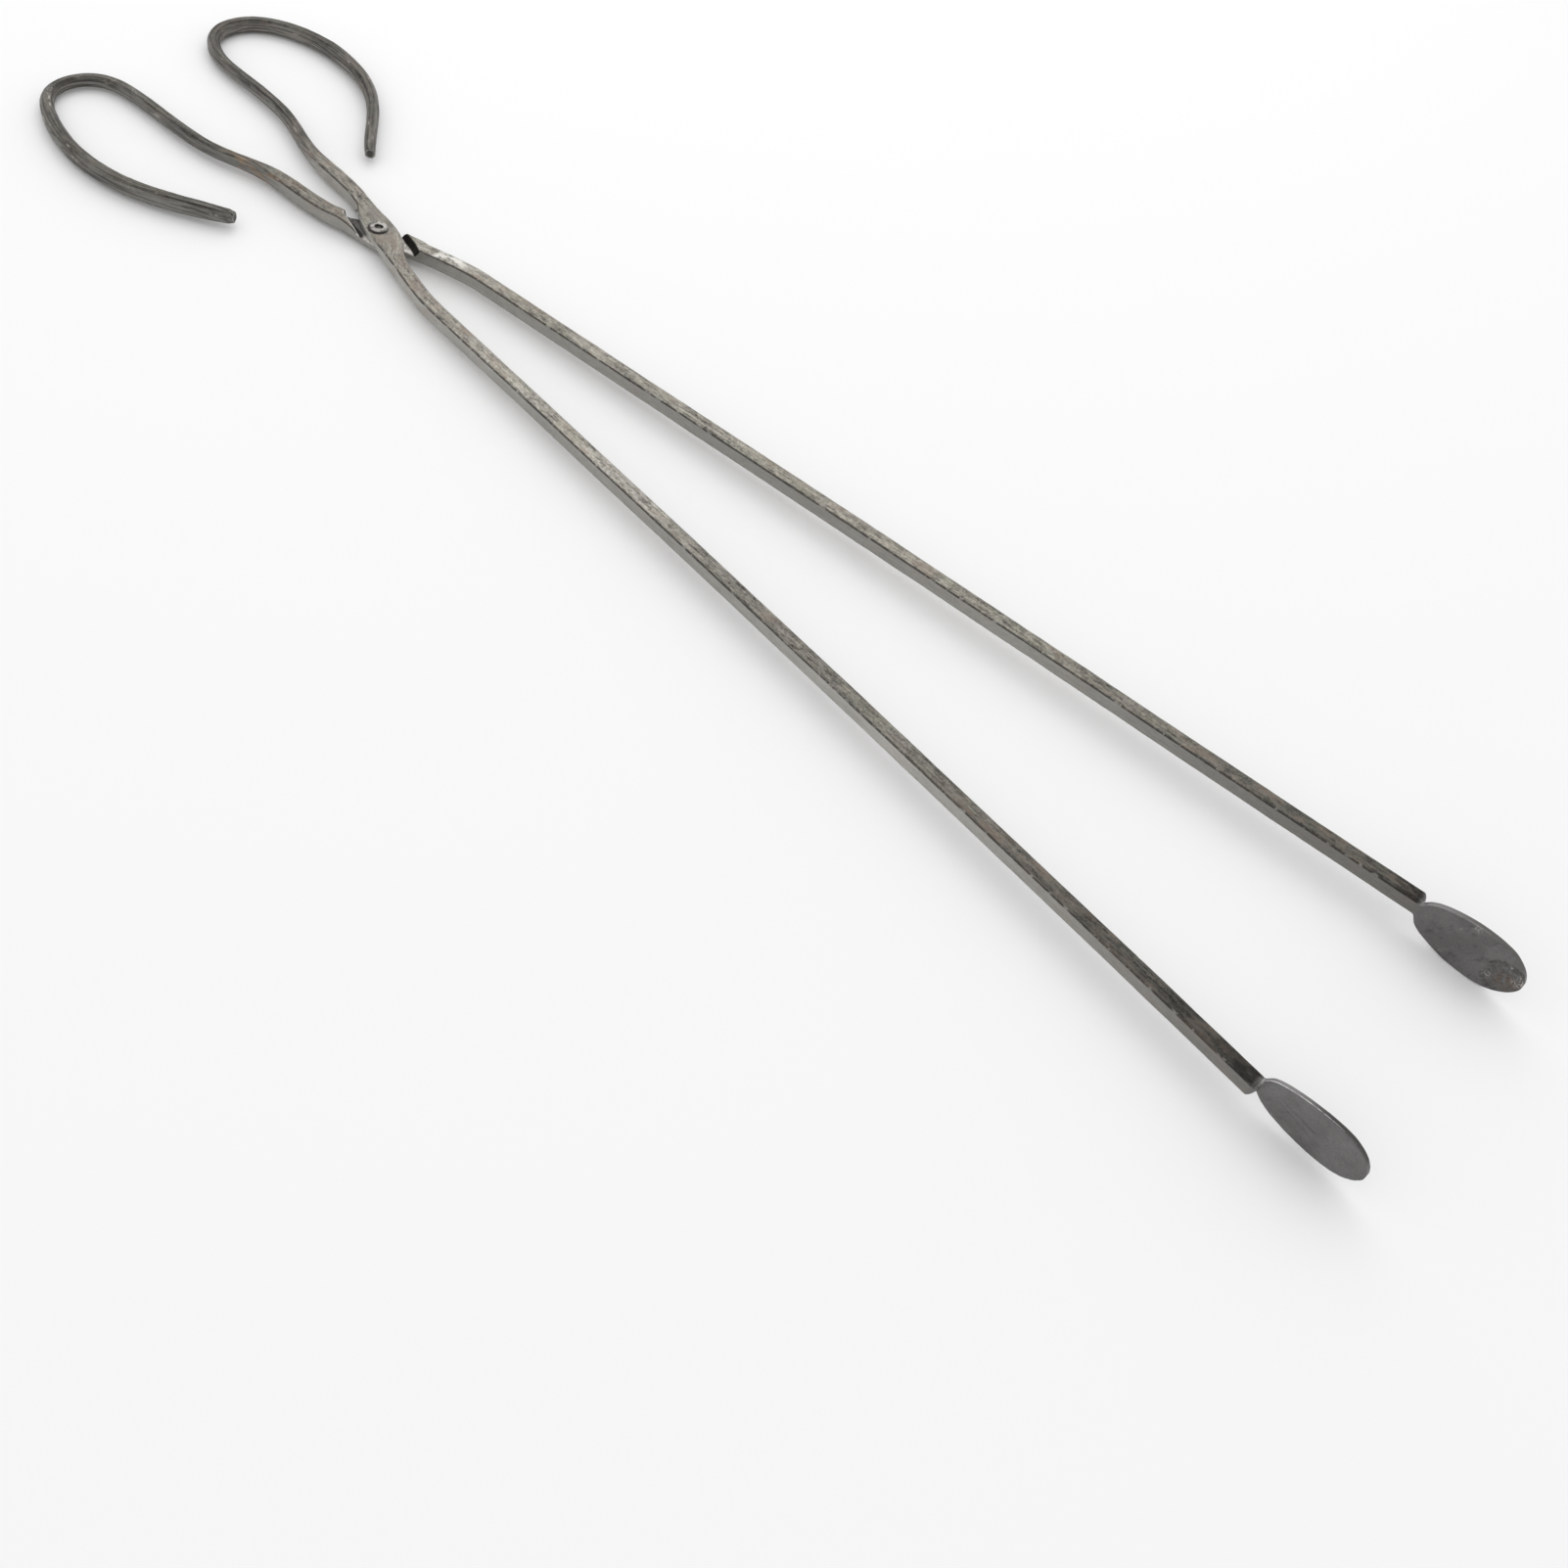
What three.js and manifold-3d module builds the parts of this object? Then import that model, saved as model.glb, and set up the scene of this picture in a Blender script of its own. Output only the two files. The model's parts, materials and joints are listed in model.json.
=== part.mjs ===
// Blacksmith's tongs with long reins: two forged arms crossing in a half-lap and
// turning on one clinched rivet. Each arm is a single forging: an open loop handle,
// a kinked shank, a flattened eye, a long straight rein and an oval blade.
// Millimetres, +Z up. The arms lie in the XY plane, the jaws point along +X and the
// rivet stands along +Z. The finished group is moved so that the origin is at the
// middle of the underside of the whole tool.
import * as THREE from 'three';
import Module from 'manifold-3d';
import { mergeVertices } from 'three/addons/utils/BufferGeometryUtils.js';

// ---------------------------------------------------------------- driving dimensions
const BAR = 8;                 // square bar the arms are forged from
const BAR_CHAMFER = 0.8;       // knocked-down corners of the square bar
const LAP_GAP = 0.3;           // free space between the two half-laps
const RIVET_R = 3.0;           // rivet shank
const BORE_R = 3.1;            // rivet hole in both arms
const RIVET_CLINCH_R = 5.3;    // rolled-over end on the upper side
const RIVET_CLINCH_H = 1.0;
const RIVET_MOUTH_R = 2.3;     // open mouth of the tubular end
const RIVET_MOUTH_DEPTH = 4.0;
const RIVET_HEAD_R = 5.6;      // domed head on the lower side
const RIVET_HEAD_H = 2.0;
const HEAD_GAP = 0.15;         // play under the clinch and above the head
const BLADE_T = 2.4;           // thickness of the blades
const UPPER_TOE_IN = 3.0;      // degrees each blade turns towards the other
const LOWER_TOE_IN = 5.0;

// Centrelines from the handle end to the shoulder of the blade, rivet at 0, 0.
const UPPER_LINE = [
  [-58.4, 41.1], [-66.1, 47.3], [-73.5, 54.0], [-80.9, 60.8], [-88.6, 67.4], [-96.7, 73.3],
  [-105.3, 78.2], [-114.5, 82.0], [-124.1, 84.7], [-134.0, 86.3], [-143.9, 86.9], [-153.9, 86.4],
  [-163.7, 84.7], [-173.3, 81.8], [-182.6, 77.5], [-190.8, 71.7], [-197.1, 64.1], [-200.2, 54.6],
  [-199.5, 45.1], [-194.4, 37.5], [-186.3, 32.3], [-176.7, 29.2], [-166.8, 28.0], [-156.7, 27.7],
  [-136.4, 27.7], [-116.6, 26.2], [-106.9, 24.2], [-97.3, 21.5], [-87.8, 18.4], [-78.2, 15.8],
  [-68.4, 14.0], [-58.6, 12.9], [-48.6, 12.2], [-38.6, 11.4], [-30, 10.0], [-22, 7.6], [-11, 3.7],
  [0, 0.2], [10, -2.0], [19.4, -5.2], [27.8, -8.6], [35, -11.2], [46, -14.1], [56, -16.4],
  [66, -17.8], [76, -18.7], [96, -20.3], [125, -22.6], [157, -25.1], [205, -29.1], [260.4, -33.4],
  [323, -38.6], [387, -43.95], [443, -48.9], [500, -53.95], [560, -59.4], [600.9, -63.3], [616.7, -64.8],
];
const LOWER_LINE = [
  [-53.9, -51.6], [-62.7, -57.3], [-71.2, -62.6], [-79.8, -67.7], [-88.7, -72.4], [-97.8, -76.6],
  [-107.2, -80.1], [-116.8, -82.6], [-126.5, -84.3], [-136.4, -85.1], [-146.4, -85.0], [-156.4, -83.9],
  [-166.3, -81.9], [-176.1, -79.0], [-185.7, -75.2], [-194.3, -70.0], [-200.2, -62.9], [-202.1, -53.5],
  [-199.7, -43.9], [-193.3, -36.4], [-184.5, -32.3], [-174.6, -30.5], [-164.6, -29.6], [-154.5, -29.2],
  [-134.4, -28.7], [-114.6, -26.8], [-105.0, -24.6], [-95.5, -21.4], [-86.1, -18.0], [-76.5, -15.2],
  [-66.7, -13.6], [-56.7, -12.9], [-46.7, -12.3], [-37.5, -11.4], [-30, -10.2], [-22, -7.9], [-10, -3.6],
  [0, -0.3], [10, 2.6], [20, 5.9], [28.2, 8.9], [38.4, 12.0], [50.9, 15.2], [59, 16.8], [68, 17.8],
  [78, 18.7], [101, 20.7], [128, 23.1], [155, 25.5], [200, 29.55], [247.2, 33.85], [311, 39.6],
  [375.3, 45.05], [434, 50], [493.1, 54.75], [548, 59.4], [601.7, 64.15], [619.8, 65.7],
];
// Bar size across its flats, by distance from the handle end: [distance, size, chamfer].
const UPPER_BAR = [
  [0, 5.6, 1.5], [5, 6.2, 1.7], [20, 6.5, 1.8], [35, 6.7, 1.85], [51, 7.2, 2.0], [66, 7.6, 2.1], [81, 8.0, 2.2],
  [95, 8.4, 2.35], [106, 8.5, 2.35], [117, 8.3, 2.3], [137, 8.0, 2.2], [175, 7.9, 2.1], [192, 7.1, 1.95],
  [208, 7.05, 1.95], [270, 7.0, 1.95], [293, 6.9, 1.9], [306, 7.3, 1.8], [320, 7.7, 1.3], [336, 8.0, BAR_CHAMFER],
  [2000, BAR, BAR_CHAMFER],
];
const LOWER_BAR = [
  [0, 5.4, 1.5], [3, 7.2, 2.0], [11, 8.0, 2.2], [20, 8.6, 2.4], [60, 8.8, 2.45], [80, 8.7, 2.4], [105, 8.5, 2.35],
  [117, 8.3, 2.3], [131, 8.0, 2.2], [146, 7.2, 2.0], [161, 6.7, 1.85], [170, 6.6, 1.85], [190, 6.8, 1.9],
  [203, 7.1, 1.95], [280, 7.1, 1.95], [292, 7.0, 1.9], [304, 7.4, 1.8], [316, 7.8, 1.3], [330, 8.0, BAR_CHAMFER],
  [2000, BAR, BAR_CHAMFER],
];
// Blade outline beyond the shoulder: [distance, height above, height below].
const UPPER_BLADE = [
  [-5, 3.0, 3.0], [-1, 3.3, 3.3], [0.6, 4.9, 4.6], [2.2, 7.4, 6.3], [4.5, 9.3, 7.9], [8, 10.9, 9.6], [13, 12.5, 11.2],
  [19, 13.7, 12.4], [26, 14.4, 13.1], [32, 14.5, 13.2], [37, 14.0, 12.7], [41, 12.9, 11.8], [44.6, 11.1, 10.2],
  [47.6, 8.5, 7.9], [49.8, 5.4, 5.1], [51.0, 2.6, 2.6], [51.3, 0.7, 0.7],
];
const LOWER_BLADE = [
  [-5, 3.0, 3.0], [-1.5, 3.4, 3.4], [0.4, 4.8, 5.2], [2.2, 7.3, 8.0], [5, 9.6, 10.2], [9, 11.6, 12.0], [14, 13.3, 13.6],
  [20, 14.6, 14.8], [26, 15.3, 15.4], [32, 15.3, 15.4], [37, 14.7, 14.8], [41, 13.6, 13.7], [44.7, 11.7, 11.8],
  [47.9, 9.1, 9.1], [50.3, 6.0, 6.0], [51.7, 2.9, 2.9], [52.1, 0.8, 0.8],
];

// Plan outline of the flattened eye of each arm, seen from above.
const UPPER_EYE = [
  [-33, 13.6], [-24, 12.7], [-14.5, 10.8], [-3, 9.2], [4, 7.9], [9.8, 6.2], [15.3, 3.6], [20, 0.5], [23.5, -2.7],
  [26.5, -5.2], [32, -7.3], [36, -14.6], [30, -13.8], [22, -12.0], [16.5, -10.6], [10, -9.4], [5, -8.4], [0, -7.2],
  [-6, -5.2], [-12, -2.8], [-17, -0.3], [-20, 1.8], [-23, 4.5], [-29, 7.0],
];
const LOWER_EYE = [
  [-31, -13.5], [-24, -12.2], [-16, -10.8], [-9.8, -9.7], [-3, -8.9], [3, -8.1], [8, -6.8], [13, -4.1], [17, -0.7],
  [20.5, 2.2], [27, 5.5], [31, 12.8], [22, 12.0], [16, 10.4], [8, 8.6], [2, 7.4], [-4, 5.6], [-10, 3.0],
  [-16, -0.2], [-20, -3.0], [-24, -5.3], [-30, -7.1],
];
// Plan outline of the half-lap cut into the top of the lower arm. Its long edges run
// beside the upper arm and leave room for it to close; the cut under the upper arm
// is the same outline turned over.
const LAP_CUT = [
  [-26, 6], [-23.6, -1], [-22.6, -4.6], [-21, -6.3], [-14.3, -7.7], [-7.1, -8.8], [-2, -10.2], [-1, -16], [30, -16],
  [30.5, 0], [27.6, 4.2], [24, 5.8], [20, 7.2], [16, 8.3], [13, 9.4], [11.5, 12.5], [9, 20], [-20, 20],
];

// ---------------------------------------------------------------- solids
const wasm = await Module();
wasm.setup();

function solid(geometry) {
  const g = geometry.clone();
  g.deleteAttribute('normal');
  g.deleteAttribute('uv');
  const m = mergeVertices(g, 1e-5);
  return new wasm.Manifold(new wasm.Mesh({
    numProp: 3,
    vertProperties: new Float32Array(m.attributes.position.array),
    triVerts: new Uint32Array(m.index.array),
  }));
}

function geometryOf(manifold) {
  const mesh = manifold.getMesh();
  const g = new THREE.BufferGeometry();
  const p = new Float32Array(mesh.numVert * 3);
  for (let i = 0; i < mesh.numVert; i++) {
    for (let k = 0; k < 3; k++) p[3 * i + k] = mesh.vertProperties[i * mesh.numProp + k];
  }
  g.setAttribute('position', new THREE.BufferAttribute(p, 3));
  g.setIndex(new THREE.BufferAttribute(new Uint32Array(mesh.triVerts), 1));
  g.computeVertexNormals();
  return g;
}

function lookup(table, s, k) {
  if (s <= table[0][0]) return table[0][k];
  for (let i = 1; i < table.length; i++) {
    if (s <= table[i][0]) {
      const t = (s - table[i - 1][0]) / (table[i][0] - table[i - 1][0]);
      return table[i - 1][k] + t * (table[i][k] - table[i - 1][k]);
    }
  }
  return table[table.length - 1][k];
}

// A bar with a chamfered square section swept along a centreline in the XY plane.
function sweepBar(line, table) {
  const curve = new THREE.CatmullRomCurve3(line.map(([x, y]) => new THREE.Vector3(x, y, 0)), false, 'centripetal');
  const fine = curve.getPoints(line.length * 12);
  const tangents = fine.map((p, i) => {
    const a = fine[Math.max(0, i - 1)], b = fine[Math.min(fine.length - 1, i + 1)];
    return b.clone().sub(a).normalize();
  });
  // stations: close together where the bar bends, far apart on the straight rein
  const stations = [];
  let s = 0, lastS = -1e9, lastT = null;
  for (let i = 0; i < fine.length; i++) {
    if (i > 0) s += fine[i].distanceTo(fine[i - 1]);
    const bend = lastT ? THREE.MathUtils.radToDeg(lastT.angleTo(tangents[i])) : 999;
    const near = s < 8 ? 2 : 7;
    if (bend > 5 || s - lastS > (fine[i].x > 70 ? 60 : near) || i === fine.length - 1) {
      stations.push({ p: fine[i], t: tangents[i], s });
      lastS = s; lastT = tangents[i];
    }
  }
  const pos = [], idx = [], n = 8;
  for (const { p, t, s: d } of stations) {
    const h = lookup(table, d, 1) / 2, c = lookup(table, d, 2);
    const ring = [[h, -h + c], [h, h - c], [h - c, h], [-h + c, h], [-h, h - c], [-h, -h + c], [-h + c, -h], [h - c, -h]];
    for (const [u, v] of ring) pos.push(p.x - t.y * u, p.y + t.x * u, v);
  }
  for (let i = 0; i < stations.length - 1; i++) {
    for (let k = 0; k < n; k++) {
      const a = i * n + k, b = i * n + (k + 1) % n, c = a + n, d = b + n;
      idx.push(a, b, c, b, d, c);
    }
  }
  const last = (stations.length - 1) * n;
  for (let k = 1; k < n - 1; k++) {
    idx.push(0, k + 1, k);
    idx.push(last, last + k, last + k + 1);
  }
  const g = new THREE.BufferGeometry();
  g.setAttribute('position', new THREE.Float32BufferAttribute(pos, 3));
  g.setIndex(idx);
  const m = solid(g);
  return m.volume() < 0 ? solid(flip(g)) : m;
}

function flip(g) {
  const a = g.index.array;
  for (let i = 0; i < a.length; i += 3) { const t = a[i]; a[i] = a[i + 1]; a[i + 1] = t; }
  return g;
}

// A prism over an XY outline between two heights.
function prism(points, z0, z1) {
  const outline = points.map(([x, y]) => new THREE.Vector2(x, y));
  const shape = new THREE.Shape(THREE.ShapeUtils.isClockWise(outline) ? outline.reverse() : outline);
  const g = new THREE.ExtrudeGeometry(shape, { depth: z1 - z0, bevelEnabled: false });
  g.translate(0, 0, z0);
  return solid(g);
}

function cylinder(r, z0, z1, seg = 48) {
  const g = new THREE.CylinderGeometry(r, r, z1 - z0, seg, 1);
  g.rotateX(Math.PI / 2);
  g.translate(0, 0, (z0 + z1) / 2);
  return solid(g);
}

// An oval blade standing on edge at the end of the rein. side = +1 puts its inner
// face on the +Y side of the bar, -1 on the -Y side.
function blade(line, outline, side, toeIn) {
  const [x1, y1] = line[line.length - 1], [x0, y0] = line[line.length - 3];
  const dir = Math.atan2(y1 - y0, x1 - x0) + side * THREE.MathUtils.degToRad(toeIn);
  const up = outline.map(([u, above]) => new THREE.Vector2(u, above));
  const down = outline.map(([u, , below]) => new THREE.Vector2(u, -below)).reverse();
  const top = new THREE.SplineCurve(up).getPoints(outline.length * 2);
  const bottom = new THREE.SplineCurve(down).getPoints(outline.length * 2);
  const shape = new THREE.Shape([...top, ...bottom]);
  const g = new THREE.ExtrudeGeometry(shape, {
    depth: BLADE_T - 0.8, bevelEnabled: true, bevelThickness: 0.4, bevelSize: 0.4, bevelOffset: -0.4, bevelSegments: 1,
  });
  g.rotateX(Math.PI / 2);                       // outline upright in XZ, thickness along Y
  g.computeBoundingBox();
  g.translate(0, (side > 0 ? BAR / 2 - BLADE_T : -BAR / 2) - g.boundingBox.min.y, 0);
  g.rotateZ(dir);
  g.translate(x1, y1, 0);
  return solid(g);
}

function arm(line, table, outline, side, toeIn, eye, cut, cutZ) {
  return sweepBar(line, table)
    .add(prism(eye, -BAR / 2, BAR / 2))
    .subtract(prism(cut, cutZ[0], cutZ[1]))
    .subtract(cylinder(BORE_R, -10, 10))
    .add(blade(line, outline, side, toeIn));
}

const H = BAR / 2, G = LAP_GAP / 2;
const lower = arm(LOWER_LINE, LOWER_BAR, LOWER_BLADE, -1, LOWER_TOE_IN, LOWER_EYE, LAP_CUT, [-G, 10]);
const upper = arm(UPPER_LINE, UPPER_BAR, UPPER_BLADE, 1, UPPER_TOE_IN, UPPER_EYE, LAP_CUT.map(([x, y]) => [x, -y]), [-10, G]);

// Semi-tubular rivet: domed head below, open tube rolled outwards above.
function rivet() {
  const z0 = -H - HEAD_GAP, z1 = H + HEAD_GAP;
  const profile = [
    [0, z0 - RIVET_HEAD_H], [2.4, z0 - RIVET_HEAD_H * 0.93], [4.2, z0 - RIVET_HEAD_H * 0.68],
    [5.2, z0 - RIVET_HEAD_H * 0.36], [RIVET_HEAD_R, z0 - 0.3], [RIVET_HEAD_R, z0],
    [RIVET_R, z0], [RIVET_R, z1], [RIVET_CLINCH_R - 0.25, z1], [RIVET_CLINCH_R, z1 + 0.3],
    [RIVET_CLINCH_R - 0.35, z1 + 0.75], [RIVET_CLINCH_R - 1.1, z1 + RIVET_CLINCH_H],
    [RIVET_MOUTH_R + 0.75, z1 + RIVET_CLINCH_H - 0.05], [RIVET_MOUTH_R + 0.1, z1 + 0.55],
    [RIVET_MOUTH_R, z1], [RIVET_MOUTH_R - 0.1, z1 - RIVET_MOUTH_DEPTH], [0, z1 - RIVET_MOUTH_DEPTH - 0.6],
  ].map(([r, z]) => new THREE.Vector2(r, z));
  const g = new THREE.LatheGeometry(profile, 40);
  g.rotateX(Math.PI / 2);
  let m = solid(g);
  if (m.volume() < 0) m = solid(flip(mergeVertices(g)));
  return m;
}

// ---------------------------------------------------------------- the model
function mesh(name, manifold, color, roughness) {
  const m = new THREE.Mesh(geometryOf(manifold), new THREE.MeshStandardMaterial({ color, roughness, metalness: 0.9 }));
  m.name = name;
  return m;
}

const group = new THREE.Group();
group.add(mesh('lower_arm', lower, 0x4b4946, 0.55));
group.add(mesh('upper_arm', upper, 0x57544f, 0.52));
group.add(mesh('pivot_rivet', rivet(), 0x8c8880, 0.35));

const box = new THREE.Box3().setFromObject(group);
group.position.set(-(box.min.x + box.max.x) / 2, -(box.min.y + box.max.y) / 2, -box.min.z);

export default group;
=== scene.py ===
"""Looks of the long-reined blacksmith's tongs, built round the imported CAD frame.

Both arms and the rivet are rebuilt as fine meshes on the same centrelines and sizes as the
CAD part, then given worn forged-steel materials. Tables are in millimetres with the rivet
at 0, 0, 0; everything is placed by the frame's own joint position.
"""
import json
import math

import bmesh
import bpy
import numpy as np
from mathutils import Matrix, Vector


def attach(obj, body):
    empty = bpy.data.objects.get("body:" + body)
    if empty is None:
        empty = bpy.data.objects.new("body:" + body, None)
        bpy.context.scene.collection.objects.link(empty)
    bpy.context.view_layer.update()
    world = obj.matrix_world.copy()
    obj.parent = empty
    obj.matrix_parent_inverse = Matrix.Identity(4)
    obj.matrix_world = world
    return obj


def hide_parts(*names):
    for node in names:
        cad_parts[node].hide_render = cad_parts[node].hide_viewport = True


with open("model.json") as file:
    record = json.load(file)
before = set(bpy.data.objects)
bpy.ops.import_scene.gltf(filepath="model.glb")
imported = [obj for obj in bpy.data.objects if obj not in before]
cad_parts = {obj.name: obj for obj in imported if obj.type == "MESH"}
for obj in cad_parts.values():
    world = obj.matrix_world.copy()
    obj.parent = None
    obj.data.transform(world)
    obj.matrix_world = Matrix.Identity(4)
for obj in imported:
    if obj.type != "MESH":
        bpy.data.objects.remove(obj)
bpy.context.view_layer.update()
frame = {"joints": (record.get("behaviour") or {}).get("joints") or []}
PIVOT = np.array(frame["joints"][0]["pos_m"], float)  # the rivet, in the row frame, metres

# ------------------------------------------------------------------ shared sizes (mm)
BAR = 8.0
LAP_Z = 0.15          # half the gap between the two laps
BORE_R = 3.1
BLADE_T = 2.4
UPPER_TOE, LOWER_TOE = 3.0, 5.0
CLINCH_R, CLINCH_H = 5.3, 1.0
HEAD_R, HEAD_H = 5.6, 2.0
SHANK_R, HEAD_GAP = 3.0, 0.15

# Centrelines [x, y]; bar tables [distance, across flats, chamfer]; blades [distance, above,
# below]; plan outlines of the eyes; plan outline of the lap cut in the lower arm.
UPPER_LINE = [
  [-58.4, 41.1], [-66.1, 47.3], [-73.5, 54.0], [-80.9, 60.8], [-88.6, 67.4], [-96.7, 73.3],
  [-105.3, 78.2], [-114.5, 82.0], [-124.1, 84.7], [-134.0, 86.3], [-143.9, 86.9], [-153.9, 86.4],
  [-163.7, 84.7], [-173.3, 81.8], [-182.6, 77.5], [-190.8, 71.7], [-197.1, 64.1], [-200.2, 54.6],
  [-199.5, 45.1], [-194.4, 37.5], [-186.3, 32.3], [-176.7, 29.2], [-166.8, 28.0], [-156.7, 27.7],
  [-136.4, 27.7], [-116.6, 26.2], [-106.9, 24.2], [-97.3, 21.5], [-87.8, 18.4], [-78.2, 15.8],
  [-68.4, 14.0], [-58.6, 12.9], [-48.6, 12.2], [-38.6, 11.4], [-30, 10.0], [-22, 7.6], [-11, 3.7],
  [0, 0.2], [10, -2.0], [19.4, -5.2], [27.8, -8.6], [35, -11.2], [46, -14.1], [56, -16.4],
  [66, -17.8], [76, -18.7], [96, -20.3], [125, -22.6], [157, -25.1], [205, -29.1], [260.4, -33.4],
  [323, -38.6], [387, -43.95], [443, -48.9], [500, -53.95], [560, -59.4], [600.9, -63.3], [616.7, -64.8],
]
LOWER_LINE = [
  [-53.9, -51.6], [-62.7, -57.3], [-71.2, -62.6], [-79.8, -67.7], [-88.7, -72.4], [-97.8, -76.6],
  [-107.2, -80.1], [-116.8, -82.6], [-126.5, -84.3], [-136.4, -85.1], [-146.4, -85.0], [-156.4, -83.9],
  [-166.3, -81.9], [-176.1, -79.0], [-185.7, -75.2], [-194.3, -70.0], [-200.2, -62.9], [-202.1, -53.5],
  [-199.7, -43.9], [-193.3, -36.4], [-184.5, -32.3], [-174.6, -30.5], [-164.6, -29.6], [-154.5, -29.2],
  [-134.4, -28.7], [-114.6, -26.8], [-105.0, -24.6], [-95.5, -21.4], [-86.1, -18.0], [-76.5, -15.2],
  [-66.7, -13.6], [-56.7, -12.9], [-46.7, -12.3], [-37.5, -11.4], [-30, -10.2], [-22, -7.9], [-10, -3.6],
  [0, -0.3], [10, 2.6], [20, 5.9], [28.2, 8.9], [38.4, 12.0], [50.9, 15.2], [59, 16.8], [68, 17.8],
  [78, 18.7], [101, 20.7], [128, 23.1], [155, 25.5], [200, 29.55], [247.2, 33.85], [311, 39.6],
  [375.3, 45.05], [434, 50], [493.1, 54.75], [548, 59.4], [601.7, 64.15], [619.8, 65.7],
]
UPPER_BAR = [
  [0, 5.6, 1.5], [5, 6.2, 1.7], [20, 6.5, 1.8], [35, 6.7, 1.85], [51, 7.2, 2.0], [66, 7.6, 2.1], [81, 8.0, 2.2],
  [95, 8.4, 2.35], [106, 8.5, 2.35], [117, 8.3, 2.3], [137, 8.0, 2.2], [175, 7.9, 2.1], [192, 7.1, 1.95],
  [208, 7.05, 1.95], [270, 7.0, 1.95], [293, 6.9, 1.9], [306, 7.3, 1.8], [320, 7.7, 1.3], [336, 8.0, 0.8],
  [2000, 8.0, 0.8],
]
LOWER_BAR = [
  [0, 5.4, 1.5], [3, 7.2, 2.0], [11, 8.0, 2.2], [20, 8.6, 2.4], [60, 8.8, 2.45], [80, 8.7, 2.4], [105, 8.5, 2.35],
  [117, 8.3, 2.3], [131, 8.0, 2.2], [146, 7.2, 2.0], [161, 6.7, 1.85], [170, 6.6, 1.85], [190, 6.8, 1.9],
  [203, 7.1, 1.95], [280, 7.1, 1.95], [292, 7.0, 1.9], [304, 7.4, 1.8], [316, 7.8, 1.3], [330, 8.0, 0.8],
  [2000, 8.0, 0.8],
]
UPPER_BLADE = [
  [-5, 3.0, 3.0], [-1, 3.3, 3.3], [0.6, 4.9, 4.6], [2.2, 7.4, 6.3], [4.5, 9.3, 7.9], [8, 10.9, 9.6], [13, 12.5, 11.2],
  [19, 13.7, 12.4], [26, 14.4, 13.1], [32, 14.5, 13.2], [37, 14.0, 12.7], [41, 12.9, 11.8], [44.6, 11.1, 10.2],
  [47.6, 8.5, 7.9], [49.8, 5.4, 5.1], [51.0, 2.6, 2.6], [51.3, 0.7, 0.7],
]
LOWER_BLADE = [
  [-5, 3.0, 3.0], [-1.5, 3.4, 3.4], [0.4, 4.8, 5.2], [2.2, 7.3, 8.0], [5, 9.6, 10.2], [9, 11.6, 12.0], [14, 13.3, 13.6],
  [20, 14.6, 14.8], [26, 15.3, 15.4], [32, 15.3, 15.4], [37, 14.7, 14.8], [41, 13.6, 13.7], [44.7, 11.7, 11.8],
  [47.9, 9.1, 9.1], [50.3, 6.0, 6.0], [51.7, 2.9, 2.9], [52.1, 0.8, 0.8],
]
UPPER_EYE = [
  [-33, 13.6], [-24, 12.7], [-14.5, 10.8], [-3, 9.2], [4, 7.9], [9.8, 6.2], [15.3, 3.6], [20, 0.5], [23.5, -2.7],
  [26.5, -5.2], [32, -7.3], [36, -14.6], [30, -13.8], [22, -12.0], [16.5, -10.6], [10, -9.4], [5, -8.4], [0, -7.2],
  [-6, -5.2], [-12, -2.8], [-17, -0.3], [-20, 1.8], [-23, 4.5], [-29, 7.0],
]
LOWER_EYE = [
  [-31, -13.5], [-24, -12.2], [-16, -10.8], [-9.8, -9.7], [-3, -8.9], [3, -8.1], [8, -6.8], [13, -4.1], [17, -0.7],
  [20.5, 2.2], [27, 5.5], [31, 12.8], [22, 12.0], [16, 10.4], [8, 8.6], [2, 7.4], [-4, 5.6], [-10, 3.0],
  [-16, -0.2], [-20, -3.0], [-24, -5.3], [-30, -7.1],
]
LAP_CUT = [
  [-26, 6], [-23.6, -1], [-22.6, -4.6], [-21, -6.3], [-14.3, -7.7], [-7.1, -8.8], [-2, -10.2], [-1, -16], [30, -16],
  [30.5, 0], [27.6, 4.2], [24, 5.8], [20, 7.2], [16, 8.3], [13, 9.4], [11.5, 12.5], [9, 20], [-20, 20],
]
# ------------------------------------------------------------------ small numeric tools
def smooth(a, b, x):
    t = np.clip((np.asarray(x, float) - a) / (b - a), 0, 1)
    return t * t * (3 - 2 * t)


def vnoise(p, seed=0):
    """Value noise in -1..1 at the rows of p, the same on every run."""
    p = np.asarray(p, float)
    i = np.floor(p).astype(np.int64)
    f = p - i
    f = f * f * (3 - 2 * f)

    def h(dx, dy, dz):
        n = ((i[:, 0] + dx) * 374761393 + (i[:, 1] + dy) * 668265263
             + (i[:, 2] + dz) * 1442695041 + seed * 974634777) & 0xFFFFFFFF
        n = ((n ^ (n >> 13)) * 1274126177) & 0xFFFFFFFF
        n = (n ^ (n >> 16)) & 0xFFFF
        return n / 32767.5 - 1

    out = 0.0
    for dx in (0, 1):
        for dy in (0, 1):
            for dz in (0, 1):
                w = ((f[:, 0] if dx else 1 - f[:, 0]) * (f[:, 1] if dy else 1 - f[:, 1])
                     * (f[:, 2] if dz else 1 - f[:, 2]))
                out = out + w * h(dx, dy, dz)
    return out


def fbm(p, seed=0, octaves=3):
    p = np.asarray(p, float)
    return sum(vnoise(p * 2 ** k, seed + 17 * k) * 0.5 ** k for k in range(octaves)) / 1.5


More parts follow.
